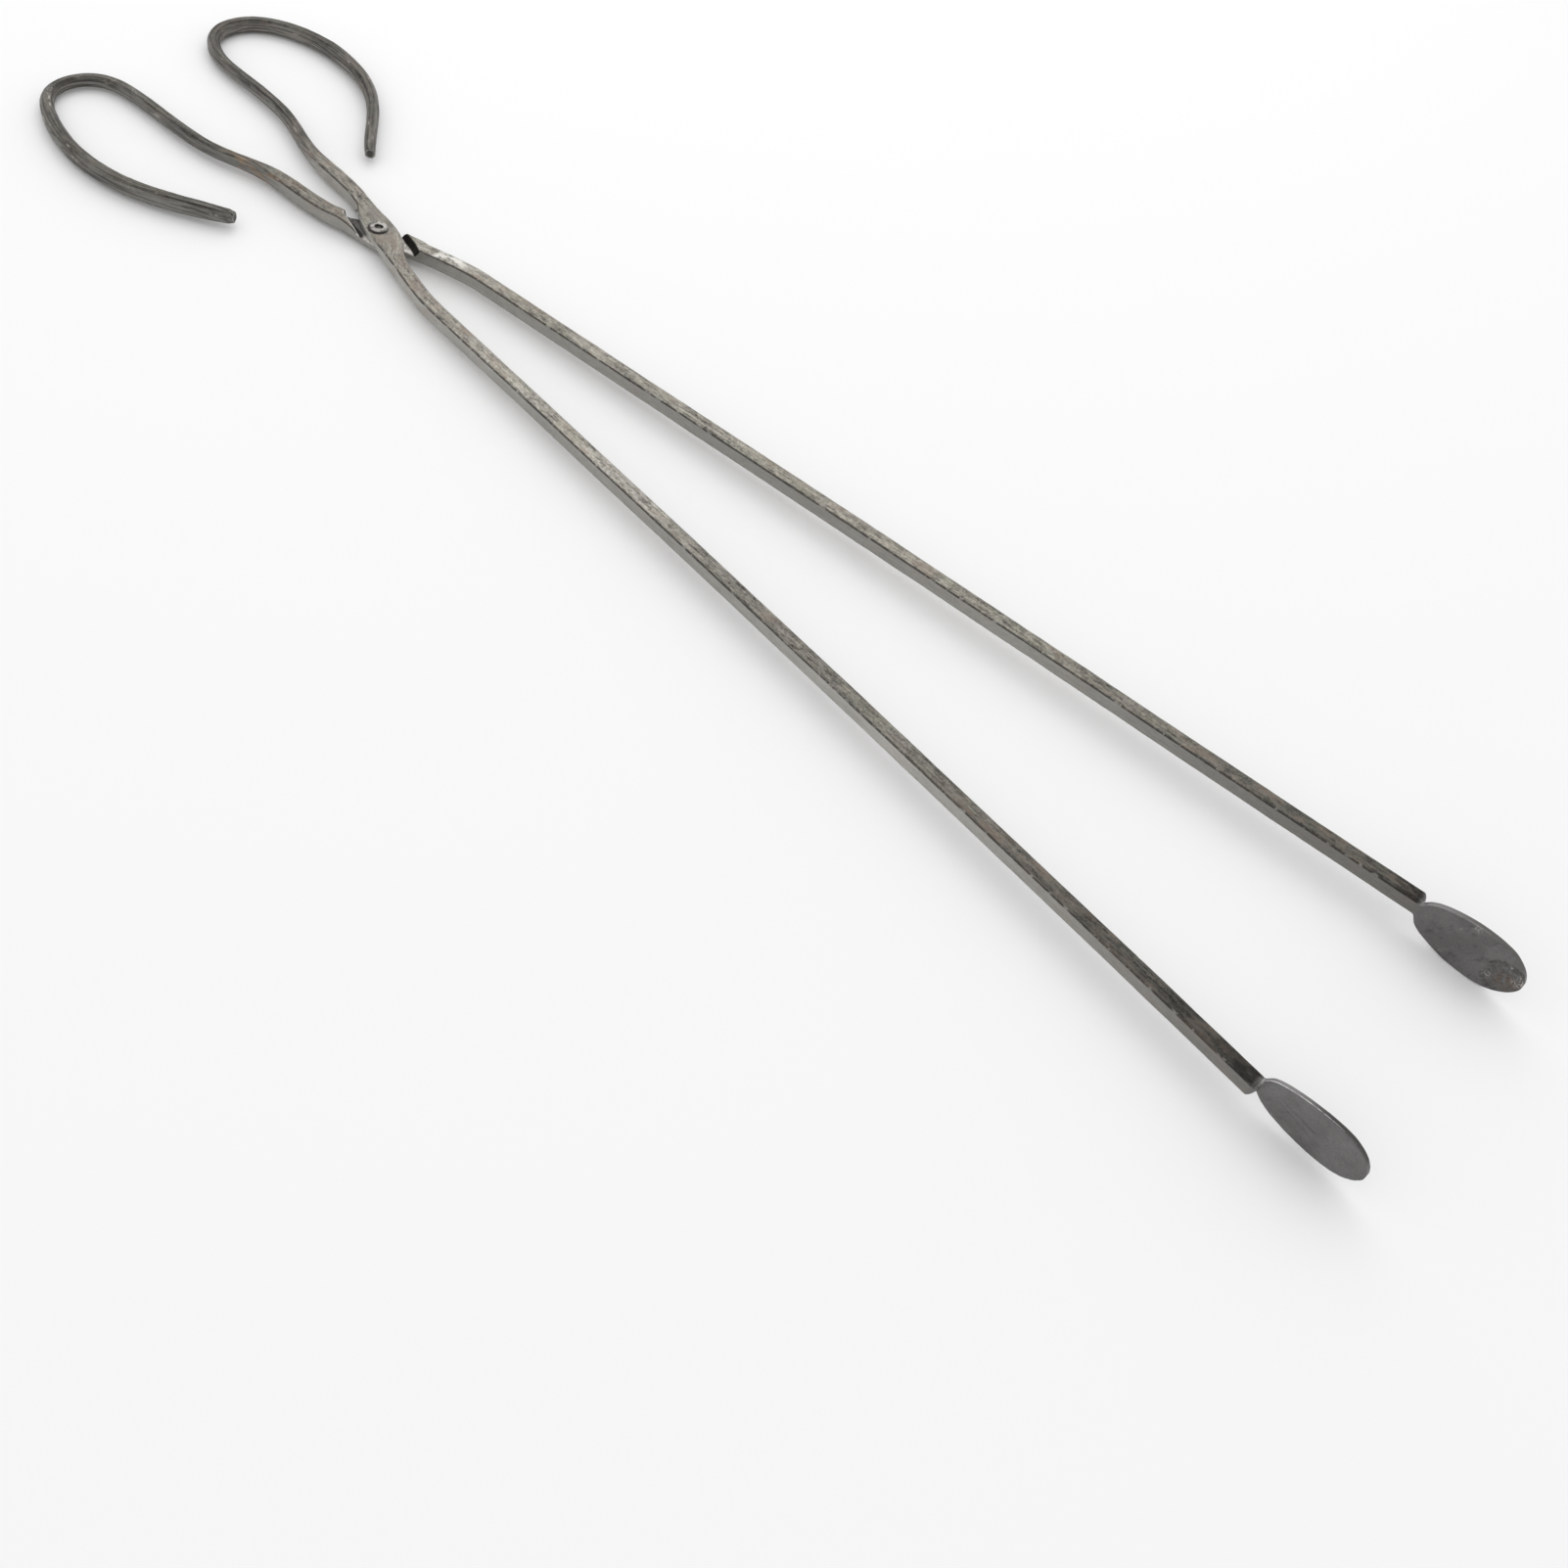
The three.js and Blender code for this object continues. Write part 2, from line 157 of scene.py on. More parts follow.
def centripetal(points, per=24):
    """Centripetal Catmull-Rom through the points, as the CAD source draws it."""
    P = np.array(points, float)
    ext = np.vstack([2 * P[0] - P[1], P, 2 * P[-1] - P[-2]])
    out = []
    for k in range(len(P) - 1):
        p0, p1, p2, p3 = ext[k:k + 4]
        d0, d1, d2 = (max(np.linalg.norm(b - a), 1e-9) ** 0.5 for a, b in ((p0, p1), (p1, p2), (p2, p3)))
        t1 = ((p1 - p0) / d0 - (p2 - p0) / (d0 + d1) + (p2 - p1) / d1) * d1
        t2 = ((p2 - p1) / d1 - (p3 - p1) / (d1 + d2) + (p3 - p2) / d2) * d1
        w = (np.arange(per) / per)[:, None]
        out.append(p1 + t1 * w + (3 * (p2 - p1) - 2 * t1 - t2) * w ** 2 + (2 * (p1 - p2) + t1 + t2) * w ** 3)
    out.append(P[-1:])
    return np.vstack(out)


def uniform_spline(points, per=8):
    P = np.array(points, float)
    out = []
    for k in range(len(P) - 1):
        p0, p1, p2, p3 = P[max(k - 1, 0)], P[k], P[k + 1], P[min(k + 2, len(P) - 1)]
        w = (np.arange(per) / per)[:, None]
        t1, t2 = (p2 - p0) / 2, (p3 - p1) / 2
        out.append(p1 + t1 * w + (3 * (p2 - p1) - 2 * t1 - t2) * w ** 2 + (2 * (p1 - p2) + t1 + t2) * w ** 3)
    out.append(P[-1:])
    return np.vstack(out)


def inside(poly, q):
    poly, q = np.asarray(poly, float), np.asarray(q, float)
    hit = np.zeros(len(q), bool)
    a = poly
    b = np.roll(poly, -1, 0)
    for (x0, y0), (x1, y1) in zip(a, b):
        c = (y0 > q[:, 1]) != (y1 > q[:, 1])
        if c.any():
            xs = x0 + (q[:, 1] - y0) / (y1 - y0 if y1 != y0 else 1e-9) * (x1 - x0)
            hit ^= c & (q[:, 0] < xs)
    return hit


def signed_distance(poly, q):
    """Distance to a closed outline, positive inside."""
    poly, q = np.asarray(poly, float), np.asarray(q, float)
    best = np.full(len(q), 1e9)
    for a, b in zip(poly, np.roll(poly, -1, 0)):
        d = b - a
        t = np.clip(((q - a) @ d) / (d @ d), 0, 1)
        best = np.minimum(best, np.linalg.norm(q - a - t[:, None] * d, axis=1))
    return np.where(inside(poly, q), best, -best)


def table(rows, s, k):
    r = np.array(rows, float)
    return np.interp(s, r[:, 0], r[:, k])


def gauss(v, sigma):
    n = int(3 * sigma) + 1
    k = np.exp(-0.5 * (np.arange(-n, n + 1) / sigma) ** 2)
    k /= k.sum()
    return np.convolve(np.pad(v, n, mode="edge"), k, mode="valid")


# ------------------------------------------------------------------ ring layout
# Each ring runs: inner side A, top inner chamfer B, top C, top outer chamfer D, outer side E,
# bottom outer chamfer F, bottom G, bottom inner chamfer H.
NA, NE, NC, NB = 19, 9, 41, 2


def spread(n, length, near=0.42):
    """n places from 0 to 1 with one close to each end, so that corners stay crisp."""
    e = min(near / max(length, 1e-6), 0.16)
    return np.r_[0, np.linspace(e, 1 - e, n - 2), 1]


def bar_ring(h, wi, wo, c):
    """(u, v) of a ring of a bar: half height h, inner and outer half widths, chamfer c."""
    soft = 0.07
    flat = 2 * (h - c)
    ta, tc, te = spread(NA, flat), spread(NC, wi + wo - 2 * c), spread(NE, flat)
    cham = np.array([0.33, 0.67])
    k = 0.12 * c * (1 if c < 1.3 else 0.3)
    rows = []
    rows.append(np.c_[np.full(NA, wi), -(h - c) + ta * flat])
    rows.append(np.c_[wi - c * cham + k * 0.7, h - c + c * cham + k * 0.7])
    rows.append(np.c_[(wi - c) - tc * (wi + wo - 2 * c), np.full(NC, h)])
    rows.append(np.c_[-(wo - c) - c * cham - k * 0.7, h - c * cham + k * 0.7])
    rows.append(np.c_[np.full(NE, -wo), (h - c) - te * flat])
    rows.append(np.c_[-wo + c * cham - k * 0.7, -(h - c) - c * cham - k * 0.7])
    rows.append(np.c_[-(wo - c) + tc * (wi + wo - 2 * c), np.full(NC, -h)])
    rows.append(np.c_[(wi - c) + c * cham + k * 0.7, -h + c * cham - k * 0.7])
    r = np.vstack(rows)
    # take the sharpness off the eight corners
    corners = np.cumsum([0, NA, NB, NC, NB, NE, NB, NC, NB])
    for a, b in ((0, NA - 1), (NA + NB, NA + NB + NC - 1), (NA + 2 * NB + NC, NA + 2 * NB + NC + NE - 1),
                 (NA + 3 * NB + NC + NE, NA + 3 * NB + 2 * NC + NE - 1)):
        for j in (a, b):
            r[j] -= np.sign(r[j]) * soft
    return r


SEG = {}
_at = 0
for _name, _n in (("A", NA), ("B", NB), ("C", NC), ("D", NB), ("E", NE), ("F", NB), ("G", NC), ("H", NB)):
    SEG[_name] = slice(_at, _at + _n)
    _at += _n
RING = _at
C1, C2 = 11, 15   # of the top's points: on the blade's rim, then down its outer face


def blade_ring(ui, t, zt, zb):
    """(u, v) of a ring of the blade: inner face at ui, thickness t, heights above and below."""
    uo = ui - t
    r = np.zeros((RING, 2))
    e = min(0.42, zt * 0.5, zb * 0.5)
    zs = -zb + e + spread(NA, zt + zb) * (zt + zb - 2 * e)
    r[SEG["A"]] = np.c_[np.full(NA, ui), zs]
    r[SEG["B"]] = [[ui - 0.10, zt - e * 0.45], [ui - 0.26, zt - e * 0.16]]
    r[SEG["D"]] = [[uo, zt * 0.25], [uo, zt * 0.22]]
    r[SEG["E"]] = np.c_[np.full(NE, uo), np.linspace(zt * 0.19, -zb * 0.19, NE)]
    r[SEG["F"]] = [[uo, -zb * 0.22], [uo, -zb * 0.25]]
    rim = np.linspace(ui - 0.42, uo + 0.42, C1)
    down = np.r_[0.16 * e, 0.45 * e, np.linspace(e, zt * 0.70, NC - C1 - 2)] if zt > 2 else np.linspace(0.1 * e, zt * 0.7, NC - C1)
    ins = np.r_[0.26, 0.10, np.zeros(NC - C1 - 2)]
    top = np.vstack([np.c_[rim, np.full(C1, zt)], np.c_[uo + ins, zt - down]])
    r[SEG["C"]] = top
    downb = np.r_[0.16 * e, 0.45 * e, np.linspace(e, zb * 0.70, NC - C1 - 2)] if zb > 2 else np.linspace(0.1 * e, zb * 0.7, NC - C1)
    bot = np.vstack([np.c_[rim, np.full(C1, -zb)], np.c_[uo + ins, -zb + downb]])
    r[SEG["G"]] = bot[::-1]
    r[SEG["H"]] = [[ui - 0.26, -zb + e * 0.16], [ui - 0.10, -zb + e * 0.45]]
    return r


def widths(poly, P, N, h):
    """How far the eye's outline reaches to each side of the centreline."""
    out = []
    r = np.arange(0, 17, 0.05)
    for sgn in (1, -1):
        w = h.copy()
        for i in np.flatnonzero(np.abs(P[:, 0]) < 40):
            q = P[i] + sgn * N[i] * r[:, None]
            ok = inside(poly, q)
            if ok[0]:
                stop = np.argmin(ok) if not ok.all() else len(r) - 1
                w[i] = max(w[i], r[stop])
        out.append(w)
    return out


def arm_geometry(line, bar, outline, eye, side, toe):
    """Ring points of one arm in the pivot frame, mm. Returns arrays shaped (rings, RING, ...)."""
    fine = centripetal(line)
    seg = np.linalg.norm(np.diff(fine, axis=0), axis=1)
    dist = np.r_[0, np.cumsum(seg)]
    total = dist[-1]
    # stations
    s, here = [0.0], 0.0
    while here < total - 1e-6:
        x = np.interp(here, dist, fine[:, 0])
        step = 0.24 if 6 < x < 31 or -25 < x < -5 else 0.4 if abs(x) < 34 else (1.1 if x < 75 else 2.6)
        if here < 3:
            step = 0.4
        if total - here < 14:
            step = 0.4
        here = min(here + step, total)
        s.append(here)
    s = np.array(s)
    if s[-1] - s[-2] < 0.15:
        s = np.delete(s, -2)
    P = np.c_[np.interp(s, dist, fine[:, 0]), np.interp(s, dist, fine[:, 1])]
    T = np.c_[np.interp(s + 0.6, dist, fine[:, 0]) - np.interp(s - 0.6, dist, fine[:, 0]),
              np.interp(s + 0.6, dist, fine[:, 1]) - np.interp(s - 0.6, dist, fine[:, 1])]
    T /= np.linalg.norm(T, axis=1)[:, None]
    # blade stations beyond the bar's end
    heights = uniform_spline(outline)
    length = heights[-1, 0]
    tip = 8.0
    db = np.r_[np.arange(0.4, 7, 0.4), np.arange(7, length - tip, 0.85),
               length - tip * (1 - np.sin(np.linspace(0, 1, 22) * np.pi / 2)) - 0.03]
    (x1, y1), (x0, y0) = line[-1], line[-3]
    turn = math.atan2(y1 - y0, x1 - x0) + side * math.radians(toe)
    tb = np.array([math.cos(turn), math.sin(turn)])
    P = np.vstack([P, np.array([x1, y1]) + db[:, None] * tb])
    d = np.r_[s - total, db]
    w = smooth(-4, 2, d)[:, None]
    T = np.vstack([T, np.tile(T[-1], (len(db), 1))]) * (1 - w) + tb * w
    T /= np.linalg.norm(T, axis=1)[:, None]
    N = np.c_[-T[:, 1], T[:, 0]] * side          # towards the blade's inner side
    s_all = np.r_[s, total + db]
    h = table(bar, s_all, 1) / 2
    c = table(bar, s_all, 2)
    # gentle unevenness of drawn-out stock
    h = h * (1 + 0.010 * fbm(np.c_[s_all * 0.035, 0 * s_all, 0 * s_all], 5 + side))
    wi, wo = widths(eye, P, N, h)
    wi, wo = gauss(wi, 2.2), gauss(wo, 2.2)
    wi, wo = np.maximum(wi, h), np.maximum(wo, h)
    rings = np.zeros((len(s_all), RING, 2))
    nub_t = np.clip((d + 2.3) / 2.9, 0, 1)
    nub = 1 - np.sqrt(np.clip(1 - nub_t ** 2, 0, 1))
    qa = smooth(-3.0, 1.2, d)
    qc = smooth(-4.2, 1.0, d)
    up = np.interp(d, heights[:, 0], heights[:, 1])
    dn_src = uniform_spline([[a, b] for a, _, b in outline])
    dn = np.interp(d, dn_src[:, 0], dn_src[:, 1])
    lift = smooth(-2.4, -0.2, d)
    up, dn = 4 + (up - 4) * lift, 4 + (dn - 4) * lift
    for i in range(len(s_all)):
        r = bar_ring(h[i], wi[i], wo[i], c[i])
        if d[i] > -6:
            b = blade_ring(4.0, BLADE_T, up[i], dn[i])
            q = np.zeros((RING, 1))
            q[SEG["A"]] = q[SEG["B"]] = q[SEG["H"]] = qa[i]
            k = np.arange(NC)
            # rim points go with the blade, the ones over the nub stay with the bar's end
            mixture = smooth(C1 - 2, C1 + C2, k)[:, None]
            q[SEG["C"]] = qc[i] * (1 - mixture) + nub[i] * mixture
            q[SEG["G"]] = (qc[i] * (1 - mixture) + nub[i] * mixture)[::-1]
            q[SEG["D"]] = q[SEG["E"]] = q[SEG["F"]] = nub[i]
            # the bar's end is rounded over in height as well
            r = r.copy()
            outer = smooth(1.5, -3.5, r[:, 0])
            r[:, 1] *= 1 - 0.34 * outer * nub_t[i] ** 2.2
            r = r * (1 - q) + b * q
        rings[i] = r
    return s_all, d, P, N, T, h, c, rings, total


def lap_fields(x, y, top):
    """Upper limit of the lower arm's top over the plan, or its mirror for the upper arm."""
    yy = y if top else -y
    q = np.c_[x, yy]
    moved = {(16, 8.3): (16, 8.0), (13, 9.4): (12.8, 8.5), (11.5, 12.5): (10.2, 9.1), (9, 20): (8.6, 20)}
    cut = [moved.get(tuple(c), c) for c in LAP_CUT] if top else LAP_CUT
    dist = signed_distance(cut, q)
    jaw = smooth(2, 8, x)
    wide = np.interp(x, [9, 11, 13, 15], [2.2, 2.3, 2.6, 2.9]) if top else 3.0
    width = wide * jaw + 0.8 * (1 - jaw)
    start = -0.4 * jaw
    if top:
        start = start - 0.9 * jaw * smooth(8.6, 10.6, y)
    if not top:
        hand = smooth(-14, -18, x)
        width = width * (1 - hand) + 4.2 * hand
        start = (start - 0.8 * (1 - jaw)) * (1 - hand) - 3.9 * hand
        width = width - 1.5 * jaw
    t = np.clip((dist - start) / width, 0, 1)
    g = 1 - (1 - t) ** (1.6 if top else 1.3)
    return 4 - (4 + LAP_Z) * g, dist


def build_arm(name, line, bar, outline, eye, side, toe):
    s, d, P, N, T, h, c, rings, total = arm_geometry(line, bar, outline, eye, side, toe)
    n = len(s)
    u, v = rings[..., 0], rings[..., 1]
    X = P[:, None, 0] + N[:, None, 0] * u
    Y = P[:, None, 1] + N[:, None, 1] * u
    Z = v.copy()
    top = side < 0                                # the lower arm is cut on top
    near = np.abs(P[:, 0]) < 40
    x, y, z = X[near].ravel(), Y[near].ravel(), Z[near].ravel()
    lim, dist = lap_fields(x, y, top)
    if top:
        # the thin wall beside the recess runs down to the recess floor
        strip = smooth(-2.5, -4.5, y) * (x > -40) * smooth(6, 2, x)
        out = 4 - (4 + LAP_Z) * np.clip((x + 22.5) / 16, 0, 1) ** 2.2
        lim = np.minimum(lim, 4 + (out - 4) * strip)
        z = -4 + (z + 4) * (lim + 4) / 8
    else:
        strip = smooth(-7.6, -9.6, y)
        grow = 4 - (4 + LAP_Z) * smooth(20.5, 5.5, x)
        lim = np.where((x > 3) & (x < 24), lim + (grow - lim) * strip, lim)
        z = 4 - (4 - z) * (lim + 4) / 8
    Z[near] = z.reshape(Z[near].shape)
    # painted shade, with some dark scale, on the cut walls of the laps where light hardly reaches
    shade_and_scale = np.zeros((n, RING))
    cutside = smooth(lim - 1.1, lim - 0.35, z) if top else smooth(-lim + 1.1, -lim + 0.35, z)
    wall = smooth(3.96, 3.2, lim) * smooth(-LAP_Z, 0.25, lim)
    if not top:
        wall = wall * smooth(-13, -9, x)
    if top:
        # painted shade: the narrow trough at the handle side is black right down to its floor, where the near arm
        # shades it
        wall = wall * np.where(x < 0, smooth(0.05, 0.4, dist), 1)
        wall = np.maximum(wall, smooth(-1, -5, x) * (smooth(0.1, 0.5, dist) * (0.62 + 0.38 * smooth(2.6, 1.7, dist))))
        # a painted highlight along the top of the thin wall beside the handle-side recess
        rim_highlight = np.exp(-((dist + 0.15) / 0.38) ** 2) * smooth(-24, -21.5, x) * smooth(-5, -8, x)
    shade_and_scale[near] = (wall * cutside).reshape(shade_and_scale[near].shape)
    floor_ = np.zeros((n, RING))
    glint = np.zeros((n, RING))
    if top:
        glint[near] = (rim_highlight * cutside).reshape(shade_and_scale[near].shape)
    floor_[near] = (smooth(0.6, 0.0, lim) * cutside).reshape(shade_and_scale[near].shape)
    V = np.stack([X, Y, Z], -1)

    # ---- attributes
    seglen = np.linalg.norm(np.diff(rings, axis=1, append=rings[:, :1]), axis=2)
    around = np.cumsum(seglen, axis=1) - seglen[:, :1]
    along = np.repeat(s[:, None], RING, 1)
    edge = np.zeros((n, RING))
    # the corner between the top and the front side gets the strongest mask, the other corners less; the material paints
    # a dark reflection along it
    front = "D" if side > 0 else "B"
    for k in ("B", "D", "F", "H"):
        edge[:, SEG[k]] = 1 if k == front else 0.35
    for a, b in (("C", "D"), ("B", "C")):
        if front in (a, b):
            j = SEG[a].stop - 1, SEG[b].start
            edge[:, j[0]] = np.maximum(edge[:, j[0]], 0.45)
            edge[:, j[1]] = np.maximum(edge[:, j[1]], 0.45)
    square = smooth(1.7, 1.0, c)[:, None]
    on_blade = smooth(-3, 0.5, d)[:, None]
    edge = edge * square * (1 - on_blade)
    topness = np.zeros((n, RING))
    topness[:, SEG["C"]] = topness[:, SEG["G"]] = 1
    topness[:, SEG["B"]] = topness[:, SEG["D"]] = topness[:, SEG["F"]] = topness[:, SEG["H"]] = 0.5
    topraw = topness.copy()
    topness = topness * (1 - on_blade)
    # painted highlight lines along the corners of the blade's rim
    corner = np.zeros((n, RING))
    for j in (SEG["C"].start + C1 - 1, SEG["C"].start + C1):
        corner[:, j] = 1
    corner[:, SEG["B"]] = 0.8
    corner[:, SEG["A"].stop - 1] = 0.8
    corner = corner * on_blade
    # a painted highlight along the lip of the bar's rounded end beside the blade, strong on the near arm and faint on
    # the far one
    nub_t = np.clip((d + 2.3) / 2.9, 0, 1)[:, None]
    lipw = np.zeros(RING)
    lipw[SEG["C"]] = smooth(0, 6, np.arange(NC)) * smooth(NC, NC - 8, np.arange(NC))
    lipw[SEG["D"]] = 0.8
    lipw[SEG["E"]] = 0.35
    bow = np.zeros(RING)
    bow[SEG["C"]] = np.linspace(-1, 1, NC) ** 2
    bow[SEG["B"]] = bow[SEG["D"]] = 1
    round_end = nub_t + 0.14 * bow[None, :]
    lip = np.exp(-((round_end - 0.82) / 0.10) ** 2) * lipw[None, :]
    glint = np.maximum(glint, lip * (0.9 if side > 0 else 0.35))
    blackened = smooth(-26, -4, d)[:, None] * topraw * smooth(0.80, 0.68, round_end)
    # longitudinal lines at the facet edges of the handles, each along one ring point; the material paints dark lines
    # and highlights on them
    facet = np.zeros((n, RING))
    for a in ("A", "C", "E", "G"):
        facet[:, SEG[a].start] = facet[:, SEG[a].stop - 1] = 1
    facet = facet * (1 - square)
    return dict(name=name, V=V, glint=glint, blackened=blackened, corner=corner, facet=facet, along=along, around=around, edge=edge, topness=topness,
                blade=np.repeat(on_blade, RING, 1), shade_and_scale=shade_and_scale, floor=floor_, s=s, d=d, P=P, N=N,
                rings=rings, total=total, side=side)


def mesh_object(name, V, closed_ring, attrs, extra_caps=False):
    """A closed tube of rings with a point at each end."""
    if extra_caps:
        # the handle's cut end: a small bevel, a rim, then a slightly hollow face
        mid, out = V[0].mean(0), V[0].mean(0) - V[1].mean(0)
        out /= np.linalg.norm(out)
        rows = [mid + (V[0] - mid) * k + out * o for k, o in
                ((0.30, -0.10), (0.62, 0.0), (0.80, 0.16), (0.90, 0.12))]
        V = np.concatenate([np.stack(rows), V])
        attrs = {k: np.concatenate([np.repeat(v[:1], 4, 0), v]) for k, v in attrs.items()}
        e = np.zeros(V.shape[:2])
        e[:4] = np.array([1.0, 0.9, 0.0, 0.0])[:, None]
        attrs["endface"] = e
        r = np.zeros(V.shape[:2])
        r[2:4] = 1
        attrs["endrim"] = r
    n, m = V.shape[:2]
    pts = V.reshape(-1, 3)
    first, last = V[0].mean(0), V[-1].mean(0)
    pts = np.vstack([pts, first, last])
    i = np.arange(n - 1)[:, None] * m
    k = np.arange(m)[None, :]
    k2 = (k + 1) % m
    quads = np.stack([i + k, i + m + k, i + m + k2, i + k2], -1).reshape(-1, 4)
    a, b = n * m, n * m + 1
    caps = [(a, int(j), int((j + 1) % m)) for j in range(m)] + \
           [(b, int((n - 1) * m + (j + 1) % m), int((n - 1) * m + j)) for j in range(m)]
    me = bpy.data.meshes.new(name)
    me.from_pydata((pts / 1000 + PIVOT).tolist(), [], quads.tolist() + caps)
    me.update()
    for key, val in attrs.items():
        at = me.attributes.new(key, "FLOAT", "POINT")
        flat = np.r_[val.ravel(), val[0].mean(), val[-1].mean()].astype(np.float32)
        assert len(flat) == len(pts)
        at.data.foreach_set("value", flat)
    bm = bmesh.new()
    bm.from_mesh(me)
    bmesh.ops.recalc_face_normals(bm, faces=bm.faces)
    if bm.calc_volume(signed=True) < 0:
        bmesh.ops.reverse_faces(bm, faces=bm.faces)
    bm.to_mesh(me)
    bm.free()
    me.polygons.foreach_set("use_smooth", np.ones(len(me.polygons), bool))
    me.update()
    ob = bpy.data.objects.new(name, me)
    bpy.context.scene.collection.objects.link(ob)
    return ob


def normals_of(me):
    a = np.zeros(len(me.vertices) * 3, np.float32)
    me.vertex_normals.foreach_get("vector", a)
    return a.reshape(-1, 3).astype(float)


def coords_of(me):
    a = np.zeros(len(me.vertices) * 3, np.float32)
    me.vertices.foreach_get("co", a)
    return a.reshape(-1, 3).astype(float)


def value_of(me, key):
    a = np.zeros(len(me.vertices), np.float32)
    me.attributes[key].data.foreach_get("value", a)
    return a.astype(float)


def set_value(me, key, val):
    at = me.attributes.get(key) or me.attributes.new(key, "FLOAT", "POINT")
    at.data.foreach_set("value", np.asarray(val, np.float32))


def drill(ob):
    """The rivet hole through an eye."""
    before = len(ob.data.vertices)
    bm = bmesh.new()
    bmesh.ops.create_cone(bm, cap_ends=True, segments=64, radius1=BORE_R / 1000, radius2=BORE_R / 1000, depth=0.03)
    bmesh.ops.translate(bm, verts=bm.verts, vec=Vector(PIVOT))
    me = bpy.data.meshes.new("drill")
    bm.to_mesh(me)
    bm.free()
    cutter = bpy.data.objects.new("drill", me)
    bpy.context.scene.collection.objects.link(cutter)
    mod = ob.modifiers.new("hole", "BOOLEAN")
    mod.operation, mod.object = "DIFFERENCE", cutter
    try:
        mod.solver = "MANIFOLD"
    except TypeError:
        mod.solver = "EXACT"
    made = bpy.data.meshes.new_from_object(ob.evaluated_get(bpy.context.evaluated_depsgraph_get()))
    if len(made.vertices) == before or len(made.vertices) == 0:
        mod.solver = "EXACT"
        made = bpy.data.meshes.new_from_object(ob.evaluated_get(bpy.context.evaluated_depsgraph_get()))
    ob.modifiers.remove(mod)
    ob.data = made
    ob.data.name = ob.name
    bpy.data.objects.remove(cutter)
    bpy.data.meshes.remove(me)
    print("drilled", ob.name, before, "->", len(made.vertices))


# Groups of bright crumbs on the inner face of the lower arm's blade:
# [distance beyond the shoulder, height, radius, weight]
FLECKS = [[49.5, 1.5, 4.0, 0.9], [38.0, -6.0, 2.6, 0.9], [43.5, 6.5, 1.5, 0.6], [23.5, 13.0, 2.4, 0.8], [33.5, 11.0, 0.9, 0.8],
          [18.0, 6.5, 0.9, 0.7], [18.0, -11.5, 1.4, 0.5], [12.0, -3.0, 1.2, 0.35]]
